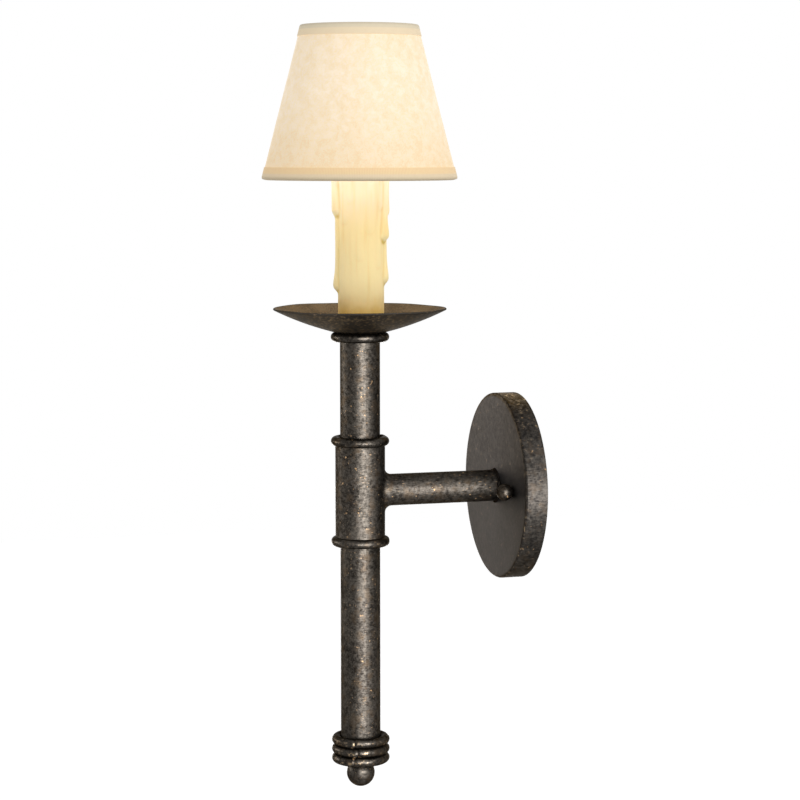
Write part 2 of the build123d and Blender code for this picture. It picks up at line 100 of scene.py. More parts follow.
def squareArc(centre, radius, startDegrees, endDegrees, count):
    # an arc whose corners are pulled out: cosine and sine to the power 0.55 instead of 1
    angle = np.radians(np.linspace(startDegrees, endDegrees, count, endpoint=False))
    spots = np.stack([np.cos(angle), np.sin(angle)], axis=-1)
    return np.array(centre) + radius * np.sign(spots) * np.abs(spots) ** 0.55


def turned(radius, height, bearing, centre, axes):
    # centre + radius * (cos bearing, sin bearing) on the first two axes + height on the third
    radius, height, bearing = np.broadcast_arrays(radius, height, bearing)
    spots = np.stack([radius * np.cos(bearing), radius * np.sin(bearing), height], axis=-1)
    return np.asarray(centre) + spots @ axes


def gridPiece(name, points, wrapRows=False, startPole=None, endPole=None, attributes=None,
              sharpDegrees=38):
    # points[row, column]: columns close round, rows too if they wrap, and a pole closes an end as a fan
    rows, columns = points.shape[:2]
    row = np.arange(rows if wrapRows else rows - 1)[:, None]
    column = np.arange(columns)[None, :]
    nextRow = (row + 1) % rows
    nextColumn = (column + 1) % columns
    corners = [row * columns + column, row * columns + nextColumn]
    corners += [nextRow * columns + nextColumn, nextRow * columns + column]
    quads = np.stack(corners, axis=-1).reshape(-1, 4)
    vertices = points.reshape(-1, 3)
    loops = [quads.ravel()]
    counts = [np.full(len(quads), 4)]
    first = np.arange(columns)
    last = first + (rows - 1) * columns
    fans = [(startPole, np.roll(first, -1), first), (endPole, last, np.roll(last, -1))]
    for pole, before, after in fans:
        if pole is not None:
            tip = np.full(columns, len(vertices))
            vertices = np.vstack([vertices, np.reshape(pole, (1, 3))])
            loops.append(np.stack([before, after, tip], axis=-1).ravel())
            counts.append(np.full(columns, 3))
    counts = np.concatenate(counts)
    loops = np.concatenate(loops).astype(np.int32)
    mesh = bpy.data.meshes.new(name)
    mesh.vertices.add(len(vertices))
    mesh.vertices.foreach_set("co", vertices.astype(np.float32).ravel())
    mesh.loops.add(len(loops))
    mesh.polygons.add(len(counts))
    mesh.polygons.foreach_set("loop_start", (np.cumsum(counts) - counts).astype(np.int32))
    mesh.polygons.foreach_set("vertices", loops)
    mesh.polygons.foreach_set("use_smooth", np.ones(len(counts), dtype=bool))
    mesh.update(calc_edges=True)
    mesh.set_sharp_from_angle(angle=math.radians(sharpDegrees))
    for label, values in (attributes or {}).items():
        values = np.broadcast_to(values, (rows, columns))
        poles = [(startPole, values[0]), (endPole, values[-1])]
        ends = [edge.mean() for pole, edge in poles if pole is not None]
        layer = mesh.attributes.new(label, "FLOAT", "POINT")
        layer.data.foreach_set("value", np.append(values.ravel(), ends).astype(np.float32))
    piece = bpy.data.objects.new(name, mesh)
    scene.collection.objects.link(piece)
    return piece


def dress(piece, body, slot, *replaced):
    # its finish, the body it moves with, and the nodes that it stands for
    piece.data.materials.append(finishes[slot])
    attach(piece, body)
    if replaced:
        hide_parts(*replaced)


# Shader helpers

def put(tree, kind, values=None, **settings):
    # one node: its settings, then its sockets, each set to a value or linked from an output
    made = tree.nodes.new("ShaderNode" + kind)
    for key, value in settings.items():
        setattr(made, key, value)
    for key, value in (values or {}).items():
        if isinstance(value, bpy.types.NodeSocket):
            tree.links.new(value, made.inputs[key])
        else:
            made.inputs[key].default_value = value
    return made


def calc(tree, operation, first, second=0.0, clamp=False):
    return put(tree, "Math", {0: first, 1: second}, operation=operation, use_clamp=clamp).outputs[0]


def times(tree, first, second):
    return calc(tree, "MULTIPLY", first, second)


def summed(tree, start, *parts):
    # the start plus each value times its own share
    for value, share in parts:
        start = calc(tree, "ADD", start, times(tree, value, share))
    return start


def painted(tree, label):
    # an amount that the mesh itself carries
    return put(tree, "Attribute", attribute_name=label).outputs["Fac"]


def heightShare(tree, place, bottom, top):
    # 0 at the bottom, 1 at the top
    height = put(tree, "SeparateXYZ", {0: place}).outputs["Z"]
    return put(tree, "MapRange", {"Value": height, "From Min": bottom, "From Max": top}).outputs[0]


def rise(tree, value, low, high):
    # 0 below low, 1 above high, smooth between
    limits = {"Value": value, "From Min": low, "From Max": high}
    return put(tree, "MapRange", limits, interpolation_type="SMOOTHSTEP").outputs[0]


def mixed(tree, share, first, second):
    return put(tree, "Mix", {0: share, 6: first, 7: second}, data_type="RGBA").outputs[2]


def clouds(tree, vector, scale, detail=2.0, roughness=0.5, distortion=0.0):
    values = {"Vector": vector, "Scale": scale, "Detail": detail}
    values.update({"Roughness": roughness, "Distortion": distortion})
    return put(tree, "TexNoise", values).outputs[0]


def colour(red, green, blue):
    return (red, green, blue, 1.0)


def newGroup(name, inputs, outputs):
    tree = bpy.data.node_groups.new(name, "ShaderNodeTree")
    for label, kind, start in inputs:
        socket = tree.interface.new_socket(name=label, in_out="INPUT", socket_type="NodeSocket" + kind)
        if start is not None:
            socket.default_value = start
    for label, kind in outputs:
        tree.interface.new_socket(name=label, in_out="OUTPUT", socket_type="NodeSocket" + kind)
    return tree, tree.nodes.new("NodeGroupInput").outputs, tree.nodes.new("NodeGroupOutput").inputs


def newMaterial(name, **plain):
    material = bpy.data.materials.new(name)
    material.use_nodes = True
    tree = material.node_tree
    shader = tree.nodes["Principled BSDF"]
    for socket, value in plain.items():
        shader.inputs[socket.replace("_", " ")].default_value = value
    return material, tree, shader.inputs, put(tree, "TexCoord").outputs["Object"]


def connect(tree, links):
    for source, target in links:
        tree.links.new(source, target)


def bumped(tree, height, distance, strength=1.0):
    return put(tree, "Bump", {"Height": height, "Distance": distance, "Strength": strength}).outputs[0]


# Shared effects

metalPattern = {
    "broadScale": 55,  # noise scales per metre
    "middleScale": 420,
    "fineScale": 900,
    "rustScale": 150,
    "clusterScale": 120,
    "speckScale": 430,
    "streakScale": (1500, 300, 1500),
    "streakTurn": (0.5, 0.7, 0.4),
    "coatShares": (0.16, 0.16, 0.43, 0.25, 0.1),  # broad, fine, middle, streak, pale
    "coatRise": (0.35, 0.67),
    "rustShare": 0.4,
    "rustRise": (0.50, 0.66),
    "calmShare": 0.62,
    "clusterRise": (0.44, 0.62),
    "speckRise": (0.69, 0.76),
    "rubRise": (0.68, 0.80),
    "wearUneven": 2.2,
    "wearRise": (0.62, 1.05),
    "bareUneven": 0.7,
    "bareRise": (0.36, 0.64),
    "fleckPaint": 0.9,  # how far a fleck is paint, not metal
    "roughness": 0.41,
    "roughShares": (0.12, -0.06, -0.14),  # broad, marks, polish
    "heightShares": (0.92, 0.08),  # middle, fine
    "bump": 0.07 * mm,
}


def agedMetalGroup():
    # a sandy dark coat with brown patches, clustered flecks of paint and slanting rub marks; wear lays bare
    # dull and bright metal, painted shade and grime darken, polish smooths, calm quiets the tone, and pale
    # lightens the coat
    inputs = [
        ("Vector", "Vector", None),
        ("Wear", "Float", 0.0),
        ("Shade_and_grime", "Float", 0.0),
        ("Polish", "Float", 0.0),
        ("Calm", "Float", 0.0),
        ("Pale", "Float", 0.0),
        ("Dark", "Color", colour(0.02, 0.015, 0.011)),
        ("Light", "Color", colour(0.05, 0.04, 0.03)),
        ("Brown", "Color", colour(0.05, 0.03, 0.02)),
        ("Quiet", "Color", colour(0.04, 0.035, 0.03)),
        ("Fleck", "Color", colour(0.2, 0.13, 0.07)),
        ("Bare", "Color", colour(0.3, 0.2, 0.11)),
        ("Dull", "Color", colour(0.15, 0.1, 0.055)),
        ("Fleck Share", "Float", 0.5),
    ]
    outputs = [("Color", "Color"), ("Metal", "Float"), ("Roughness", "Float"), ("Height", "Float")]
    tree, given, out = newGroup("agedMetal", inputs, outputs)
    pattern = metalPattern
    vector = given["Vector"]
    broad = clouds(tree, vector, pattern["broadScale"], 3)
    middle = clouds(tree, vector, pattern["middleScale"], 3, 0.55)
    fine = clouds(tree, vector, pattern["fineScale"], 2, 0.6)
    turn = {"Vector": vector, "Rotation": pattern["streakTurn"], "Scale": pattern["streakScale"]}
    streak = clouds(tree, put(tree, "Mapping", turn).outputs[0], 1.0, 1.0, 0.4)
    lively = calc(tree, "SUBTRACT", 1.0, given["Calm"], clamp=True)
    layers = [broad, fine, middle, streak, given["Pale"]]
    coat = summed(tree, 0.0, *zip(layers, pattern["coatShares"]))
    coat = mixed(tree, rise(tree, coat, *pattern["coatRise"]), given["Dark"], given["Light"])
    rust = rise(tree, clouds(tree, vector, pattern["rustScale"], 4, 0.6), *pattern["rustRise"])
    rust = times(tree, times(tree, rust, pattern["rustShare"]), lively)
    coat = mixed(tree, rust, coat, given["Brown"])
    coat = mixed(tree, times(tree, given["Calm"], pattern["calmShare"]), coat, given["Quiet"])
    cluster = rise(tree, clouds(tree, vector, pattern["clusterScale"], 2), *pattern["clusterRise"])
    speck = rise(tree, clouds(tree, vector, pattern["speckScale"], 1, 0.4), *pattern["speckRise"])
    rub = rise(tree, streak, *pattern["rubRise"])
    marks = times(tree, calc(tree, "MAXIMUM", speck, rub), cluster)
    share = times(tree, lively, given["Fleck Share"])
    marks = calc(tree, "MULTIPLY", marks, share, clamp=True)
    grainy = calc(tree, "SUBTRACT", middle, 0.5)
    bare = rise(tree, summed(tree, given["Wear"], (grainy, pattern["wearUneven"])), *pattern["wearRise"])
    patchy = calc(tree, "SUBTRACT", broad, 0.5)
    bright = rise(tree, summed(tree, fine, (patchy, pattern["bareUneven"])), *pattern["bareRise"])
    metal = mixed(tree, bright, given["Dull"], given["Bare"])
    tone = mixed(tree, bare, mixed(tree, marks, coat, given["Fleck"]), metal)
    # painted shade and grime: towards the dark coat
    tone = mixed(tree, given["Shade_and_grime"], tone, given["Dark"])
    covered = calc(tree, "SUBTRACT", 1.0, bare)
    paint = times(tree, times(tree, marks, pattern["fleckPaint"]), covered)
    shine = calc(tree, "SUBTRACT", 1.0, paint, clamp=True)
    smoothing = zip((broad, marks, given["Polish"]), pattern["roughShares"])
    rough = summed(tree, pattern["roughness"], *smoothing)
    height = summed(tree, 0.0, *zip((middle, fine), pattern["heightShares"]))
    connect(tree, [(tone, out["Color"]), (shine, out["Metal"])])
    connect(tree, [(rough, out["Roughness"]), (height, out["Height"])])
    return tree


def grainGroup():
    # a fine even grain over slow blotches: one value round a half for tone, roughness and bump
    inputs = [("Vector", "Vector", None), ("Size", "Float", 500.0)]
    tree, given, out = newGroup("grain", inputs, [("Value", "Float")])
    fine = clouds(tree, given["Vector"], given["Size"], 3)
    slow = clouds(tree, given["Vector"], 60, 2)
    connect(tree, [(summed(tree, 0.0, (fine, 0.6), (slow, 0.4)), out["Value"])])
    return tree


agedMetal = agedMetalGroup()
grain = grainGroup()


# Finishes

bronzeLook = {
    "Dark": colour(0.0080, 0.0069, 0.0058),
    "Light": colour(0.0555, 0.0489, 0.0416),
    "Brown": colour(0.049, 0.034, 0.021),
    "Quiet": colour(0.0598, 0.0605, 0.0655),
    "Fleck": colour(0.27, 0.165, 0.078),
    "Bare": colour(0.23, 0.168, 0.102),
    "Dull": colour(0.13, 0.096, 0.060),
    "Fleck Share": 0.62,
}


def bronzeFinish():
    # the aged metal, with its amounts read from each piece
    material, tree, into, place = newMaterial("agedBronze", Specular_Tint=colour(0.45, 0.43, 0.405))
    made = put(tree, "Group", {"Vector": place}, node_tree=agedMetal)
    for label, value in bronzeLook.items():
        made.inputs[label].default_value = value
    for label in ("Wear", "Shade_and_grime", "Polish", "Calm", "Pale"):
        connect(tree, [(painted(tree, label.lower()), made.inputs[label])])
    for label, socket in (("Color", "Base Color"), ("Metal", "Metallic"), ("Roughness", "Roughness")):
        connect(tree, [(made.outputs[label], into[socket])])
    connect(tree, [(bumped(tree, made.outputs["Height"], metalPattern["bump"]), into["Normal"])])
    return material


def grainedFinish(name, dark, light, size, smooth, rough, bump, metallic):
    # one material from the grain: tone between two colours, roughness between two values, a little bump
    material, tree, into, place = newMaterial(name, Metallic=metallic)
    value = put(tree, "Group", {"Vector": place, "Size": size}, node_tree=grain).outputs["Value"]
    spread = rise(tree, value, 0.35, 0.65)
    tone = mixed(tree, spread, colour(*dark), colour(*light))
    gloss = put(tree, "MapRange", {"Value": spread, "To Min": smooth, "To Max": rough}).outputs[0]
    connect(tree, [(tone, into["Base Color"]), (gloss, into["Roughness"])])
    connect(tree, [(bumped(tree, value, bump * mm), into["Normal"])])
    return material


waxLook = {
    "foot": colour(0.62, 0.375, 0.02),
    "body": colour(0.86, 0.70, 0.34),
    "crease": colour(0.69, 0.52, 0.15),
    "glowFoot": colour(0.085, 0.03, 0.0),
    "glowBody": colour(0.43, 0.37, 0.225),
    "glowTop": colour(0.46, 0.52, 0.58),
    "glowCrease": colour(0.245, 0.195, 0.05),
    "glowStrength": 0.8,
    "haze": 0.07,
    "runs": 0.32,
    "runScale": (260, 260, 26),
}


def waxFinish(bottom, top):
    # amber at the foot and golden in the creases as painted shade, paler up the sleeve, golden runs, lit
    # from the bulb end
    material, tree, into, place = newMaterial(
        "drippedWax", Roughness=0.6, Specular_IOR_Level=0.15, Subsurface_Weight=0.2,
        Subsurface_Radius=(1.0, 0.8, 0.5), Subsurface_Scale=3 * mm,
        Emission_Strength=waxLook["glowStrength"])
    haze = calc(tree, "SUBTRACT", clouds(tree, place, 90, 4), 0.5)
    share = heightShare(tree, place, bottom, top)
    share = calc(tree, "ADD", share, times(tree, haze, waxLook["haze"]), clamp=True)
    tall = put(tree, "Mapping", {"Vector": place, "Scale": waxLook["runScale"]}).outputs[0]
    runs = times(tree, rise(tree, clouds(tree, tall, 1.0, 3, 0.5), 0.46, 0.80), waxLook["runs"])
    crease = calc(tree, "ADD", painted(tree, "crease"), runs, clamp=True)
    tone = mixed(tree, rise(tree, share, 0.03, 0.26), waxLook["foot"], waxLook["body"])
    tone = mixed(tree, crease, tone, waxLook["crease"])
    glow = mixed(tree, rise(tree, share, 0.03, 0.36), waxLook["glowFoot"], waxLook["glowBody"])
    glow = mixed(tree, rise(tree, share, 0.6, 1.0), glow, waxLook["glowTop"])
    glow = mixed(tree, crease, glow, waxLook["glowCrease"])
    connect(tree, [(tone, into["Base Color"]), (glow, into["Emission Color"])])
    connect(tree, [(bumped(tree, clouds(tree, place, 420, 3), 0.08 * mm), into["Normal"])])
    return material


parchmentLook = {
    "pale": colour(0.86, 0.735, 0.55),
    "deep": colour(0.78, 0.61, 0.37),
    "glowPale": colour(0.184, 0.159, 0.128),
    "glowDeep": colour(0.148, 0.108, 0.062),
    "glowInside": colour(0.40, 0.325, 0.22),
    "glowStrength": 2.5,
    "bulbHeight": 0.64,  # share of the shade's height
    "fade": (0.05, 0.75),
    "paperGlow": 0.42,
}


def parchmentFinish(bottom, top):
    # wispy clouds and fine fibres, lit from behind and brightest about the bulb, far brighter inside
    material, tree, into, place = newMaterial(
        "cloudyParchment", Roughness=0.62, Emission_Strength=parchmentLook["glowStrength"])
    wisps = clouds(tree, place, 190, 6, 0.6, 0.5)
    fibres = clouds(tree, place, 800, 4, 0.7, 0.8)
    paper = rise(tree, summed(tree, 0.0, (wisps, 0.5), (fibres, 0.5)), 0.38, 0.62)
    away = calc(tree, "SUBTRACT", heightShare(tree, place, bottom, top), parchmentLook["bulbHeight"])
    away = rise(tree, calc(tree, "ABSOLUTE", away), *parchmentLook["fade"])
    through = summed(tree, 1 - parchmentLook["paperGlow"], (paper, parchmentLook["paperGlow"]))
    lit = times(tree, calc(tree, "SUBTRACT", 1.0, away), through)
    tone = mixed(tree, paper, parchmentLook["deep"], parchmentLook["pale"])
    glow = mixed(tree, lit, parchmentLook["glowDeep"], parchmentLook["glowPale"])
    glow = mixed(tree, painted(tree, "inside"), glow, parchmentLook["glowInside"])
    connect(tree, [(tone, into["Base Color"]), (glow, into["Emission Color"])])
    connect(tree, [(bumped(tree, fibres, 0.10 * mm), into["Normal"])])
    return material


tapeLook = {
    "overWire": colour(0.72, 0.63, 0.47),
    "overPanel": colour(0.82, 0.68, 0.48),
    "weave": colour(0.46, 0.37, 0.25),
    "glowWire": colour(0.30, 0.265, 0.19),
    "glowPanel": colour(0.37, 0.30, 0.20),
    "amber": colour(0.85, 0.65, 0.38),
    "glowAmber": colour(0.41, 0.28, 0.15),
    "foldShade": 0.8,
    "ribs": 380.0,
    "cover": 0.66,
    "coverRibs": 0.14,
    "coverUneven": 0.28,
}


def tapeFinish():
    # fine ribs across the tape, painted shade over the wire and in the fold, warm where light comes through
    # it
    material, tree, into, place = newMaterial(
        "ribbedTape", Roughness=0.8, Sheen_Weight=0.1, Emission_Strength=1.0)
    spots = put(tree, "SeparateXYZ", {0: place}).outputs
    forward = calc(tree, "SUBTRACT", spots["Y"], float(postAxis[1]))
    bearing = calc(tree, "ARCTAN2", forward, spots["X"])
    ribs = calc(tree, "SINE", times(tree, bearing, tapeLook["ribs"]))
    ribs = summed(tree, 0.5, (ribs, 0.5))
    uneven = clouds(tree, place, 300, 4, 0.6)
    threads = [(ribs, tapeLook["coverRibs"]), (uneven, tapeLook["coverUneven"])]
    cover = summed(tree, tapeLook["cover"], *threads)
    overPanel = painted(tree, "overPanel")
    amber = painted(tree, "amber")
    shaded = times(tree, painted(tree, "fold"), tapeLook["foldShade"])
    tone = mixed(tree, overPanel, tapeLook["overWire"], tapeLook["overPanel"])
    tone = mixed(tree, amber, tone, tapeLook["amber"])
    tone = mixed(tree, cover, tapeLook["weave"], tone)
    glow = mixed(tree, overPanel, tapeLook["glowWire"], tapeLook["glowPanel"])
    glow = mixed(tree, amber, glow, tapeLook["glowAmber"])
    glow = mixed(tree, painted(tree, "nearBulb"), colour(0, 0, 0), glow)
    glow = mixed(tree, shaded, glow, colour(0, 0, 0))
    connect(tree, [(tone, into["Base Color"]), (glow, into["Emission Color"])])
    connect(tree, [(bumped(tree, ribs, 0.08 * mm, 0.5), into["Normal"])])
    return material


def glassFinish():
    # clear glass with a faint uneven gloss
    material, tree, into, place = newMaterial("clearGlass", Transmission_Weight=1.0, IOR=1.46)
    uneven = {"Value": clouds(tree, place, 60, 2), "To Min": 0.01, "To Max": 0.06}
    connect(tree, [(put(tree, "MapRange", uneven).outputs[0], into["Roughness"])])
    return material


def glowFinish():
    # a white-hot coil, a little uneven along its length
    material, tree, into, place = newMaterial(
        "hotTungsten", Roughness=0.5, Base_Color=colour(0.5, 0.4, 0.3), Emission_Strength=6.0)
    heat = rise(tree, clouds(tree, place, 500, 2), 0.3, 0.7)
    glow = mixed(tree, heat, colour(1.0, 0.52, 0.16), colour(1.0, 0.74, 0.36))
    connect(tree, [(glow, into["Emission Color"])])
    return material


candleLow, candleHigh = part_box("candle_sleeve")
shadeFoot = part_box("shade_bottom_trim")[0].z
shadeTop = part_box("shade_top_trim")[1].z

finishes = {
    "bronze": bronzeFinish(),
    "wax": waxFinish(candleLow.z, candleHigh.z),
    "parchment": parchmentFinish(shadeFoot, shadeTop),
    "trim_tape": tapeFinish(),
    "clear_glass": glassFinish(),
    "tungsten": glowFinish(),
}
grainedLooks = {  # name, dark and light tone, grain size, least and most roughness, bump in mm, metallic
    "zinc_steel": ("zincSteel", (0.50, 0.51, 0.52), (0.68, 0.68, 0.66), 700, 0.28, 0.46, 0.03, 1.0),
    "brass": ("satinBrass", (0.62, 0.43, 0.17), (0.80, 0.60, 0.29), 600, 0.22, 0.38, 0.02, 1.0),
    "copper": ("bareCopper", (0.62, 0.27, 0.14), (0.82, 0.42, 0.25), 800, 0.25, 0.42, 0.02, 1.0),
    "solder": ("softSolder", (0.48, 0.48, 0.47), (0.66, 0.66, 0.64), 900, 0.30, 0.50, 0.05, 1.0),
    "lamp_wire": ("drawnWire", (0.42, 0.40, 0.37), (0.58, 0.56, 0.52), 900, 0.25, 0.42, 0.02, 1.0),
    "phenolic": (
        "blackPhenolic", (0.018, 0.014, 0.012), (0.035, 0.028, 0.024), 500, 0.32, 0.48, 0.03, 0.0),
    "black_glass": (
        "blackGlass", (0.012, 0.012, 0.014), (0.025, 0.025, 0.028), 300, 0.06, 0.16, 0.01, 0.0),
    "black_insulation": (
        "blackInsulation", (0.014, 0.014, 0.015), (0.032, 0.032, 0.032), 650, 0.42, 0.58, 0.03, 0.0),
    "white_insulation": (
        "whiteInsulation", (0.66, 0.65, 0.61), (0.80, 0.79, 0.75), 650, 0.40, 0.55, 0.03, 0.0),
    "green_screw": ("greenScrew", (0.02, 0.18, 0.05), (0.06, 0.32, 0.10), 700, 0.30, 0.45, 0.03, 0.6),
    "connector_plastic": (
        "orangePlastic", (0.72, 0.245, 0.035), (0.78, 0.285, 0.05), 900, 0.34, 0.44, 0.02, 0.0),
}
for slotName, slotLook in grainedLooks.items():
    finishes[slotName] = grainedFinish(*slotLook)
for subpart in frame["record"]["subparts"]:
    for materialSlot in nodes[subpart["node"]].material_slots:
        materialSlot.material = finishes[subpart["material_slot"]]
print("finishes", len(finishes))


# Rod rings

rodRings = {
    "rodRadius": 3.15 * mm,
    "columns": 240,
    "sides": 40,
    "seamDegrees": {  # bearing of the joint in each hoop
        "tray_ring": 118,
        "tee_upper_ring": 96,
        "tee_lower_ring": 74,
        "foot_ring_upper": -28,
        "foot_ring_middle": -22,
        "foot_ring_lower": -29,
    },
    "grooveDepth": 0.55 * mm,
    "grooveWidth": 0.8 * mm,
    "beadHeight": 0.28 * mm,
    "beadWidth": 2.4 * mm,
    "stepHeight": 0.32 * mm,
    "stepWidth": 1.0 * mm,
    "stepReach": 7.0 * mm,
    "uneven": 0.10 * mm,
    "coveHeight": 1.9 * mm,  # braze fillet against the post
    "coveFlare": 0.9 * mm,
    "coveReach": 0.6 * mm,
    "crestWear": 0.40,
    "seamWear": 0.2,
    "seamReach": 12.6 * mm,
    "recessShadeFrom": 0.4,  # cosine round the rod's section
    "recessShadeSoft": 0.5,
    "polish": 0.7,
}


def rodRing(name, seamDegrees):
    # a hoop of round rod: its radius swells at the weld and dips in its groove, the two ends meet with a
    # step, and a fillet flares up and down where the rod meets the post
    low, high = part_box(name)
    rod = rodRings["rodRadius"]
    hoop = (high.x - low.x) / 2 - rod
    bearing = bearings(rodRings["columns"])
    section = np.arange(rodRings["sides"])[:, None] * (fullTurn / rodRings["sides"])
    along = wrapped(bearing - math.radians(seamDegrees)) * hoop
    swell = rodRings["beadHeight"] * np.exp(-(along / rodRings["beadWidth"]) ** 2)
    groove = rodRings["grooveDepth"] * np.exp(-(along / rodRings["grooveWidth"]) ** 2)
    step = np.tanh(along / rodRings["stepWidth"]) * np.exp(-(along / rodRings["stepReach"]) ** 2)
    wave = np.sin(3 * bearing + seamDegrees) + 0.6 * np.sin(7 * bearing + 2 * seamDegrees)
    thickness = rod + swell - groove + rodRings["uneven"] * 0.4 * wave * np.cos(section)
    radius = np.maximum(hoop + thickness * np.cos(section), postRadius)
    lift = thickness * np.sin(section)
    near = np.clip(1 - (radius - postRadius) / rodRings["coveReach"], 0, 1)
    cove = (rodRings["coveHeight"] + rodRings["coveFlare"] * near ** 2) * np.sign(np.sin(section))
    lift = np.where((near > 0) & (np.abs(lift) < np.abs(cove)), cove, lift)
    height = (low.z + high.z) / 2 + lift + 0.5 * rodRings["stepHeight"] * step
    nearSeam = np.exp(-(along / rodRings["seamReach"]) ** 2)
    wear = rodRings["crestWear"] + rodRings["seamWear"] * nearSeam
    wear = wear * np.clip(np.cos(section), 0, 1) ** 2
    # painted shade: darker on the rod's upper, lower and inner sides, towards where it meets the post
    shade_and_grime = np.clip((rodRings["recessShadeFrom"] - np.cos(section)) / rodRings["recessShadeSoft"], 0, 1)
    points = turned(radius, height, bearing, postAxis, upright)
    amounts = {"wear": wear, "shade_and_grime": shade_and_grime, "polish": rodRings["polish"]}
    return gridPiece(name + "_rod", points, wrapRows=True, attributes=amounts)


for ringName, ringSeam in rodRings["seamDegrees"].items():
    dress(rodRing(ringName, ringSeam), "fixture", "bronze", ringName)
print("rod rings", len(rodRings["seamDegrees"]))


# Drip tray

tray = {
    "flatRadius": 17.0 * mm,
    "depth": 14.85 * mm,
    "sheet": 1.2 * mm,
    "bow": 1.15 * mm,
    "holeRadius": 5.15 * mm,
    "columns": 320,
    "wallRows": 46,
    "rimRows": 10,
    "flatRows": 8,
    "wobble": 0.14 * mm,
    "wearReach": 1.6 * mm,
    "outerWear": 0.66,
    "innerWearAndLight": 1.2,
    "lipGuard": 0.25,  # less wear at the lip
    # painted light: the whole pan's coat paler, for the light it catches
    "pale": 3.4,
}


def dripTray():
    # a flat seat, then a wall on the chord to the rim plus a bow that peaks half way, a round lip, and the
    # same inside
    low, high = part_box("drip_tray")
    sheet = tray["sheet"]
    foot = np.array([tray["flatRadius"], low.z])
    rim = np.array([(high.x - low.x) / 2, low.z + tray["depth"]])
    chord = (rim - foot) / np.linalg.norm(rim - foot)
    outward = np.array([chord[1], -chord[0]])
    share = np.arange(tray["wallRows"])[:, None] / tray["wallRows"]

    def wall(inset):
        bow = 4 * tray["bow"] * share * (1 - share)
        slope = 4 * tray["bow"] * (1 - 2 * share) / np.linalg.norm(rim - foot)
        facing = outward - slope * chord
        facing = facing / np.linalg.norm(facing, axis=1, keepdims=True)
        return foot + share * (rim - foot) + bow * outward - inset * facing

    outer = wall(0)
    inner = wall(sheet)[::-1]
    lipCentre = rim - sheet / 2 * outward
    lipAngle = math.degrees(math.atan2(outward[1], outward[0]))
    lip = arc(lipCentre, sheet / 2, lipAngle, lipAngle + 180, tray["rimRows"])
    seat = straight((tray["holeRadius"], low.z), foot, tray["flatRows"])
    floorStart = (tray["flatRadius"] - sheet / 2, low.z + sheet)
    floorEnd = (tray["holeRadius"], low.z + sheet)
    floor = straight(floorStart, floorEnd, tray["flatRows"])
    profile = np.concatenate([seat, outer, lip, inner[:-2], floor, [floorEnd]])
    bearing = bearings(tray["columns"])
    radius = profile[:, :1]
    height = profile[:, 1:]
    lift = np.clip((radius - foot[0]) / (rim[0] - foot[0]), 0, 1) ** 2
    wave = np.sin(2 * bearing + 0.7) + 0.7 * np.sin(5 * bearing + 2.1) + 0.4 * np.sin(9 * bearing)
    points = turned(radius, height + tray["wobble"] * lift * wave, bearing, postAxis, upright)
    inFrom = np.clip((rim[0] - radius) / tray["wearReach"], 0, None)
    wear = tray["outerWear"] - tray["lipGuard"] * np.exp(-inFrom)
    insideRow = len(seat) + len(outer) + len(lip)
    # inside the pan, more bare metal: wear, and painted light from the candle above
    wear[insideRow:] += tray["innerWearAndLight"] * np.clip(inFrom[insideRow:], 0, 1)
    amounts = {"wear": wear, "pale": tray["pale"]}
    return gridPiece("drip_tray_pan", points, wrapRows=True, attributes=amounts)


dress(dripTray(), "fixture", "bronze", "drip_tray")
print("drip tray")


# Wall plate

plate = {
    "sheet": 1.3 * mm,
    "edgeRound": 1.7 * mm,
    "innerRound": 0.9 * mm,
    "holeRadius": 5.15 * mm,
    "columns": 320,
    "wobble": 0.12 * mm,
    "edgeWear": 0.50,
    "edgeWearFall": 0.10,  # less of it at the top
    "wearReach": 1.3 * mm,
    "sideWear": 0.12,
    "topWearAndLight": 0.42,  # on the upper side wall: wear, and painted light where the top is lit from above
    "edgeDarkening": 0.3,
    "facePaintedShadow": 0.36,  # painted shadow: darker towards one side of the face
    "faceCalm": 0.72,
    "sideCalm": 0.12,
}


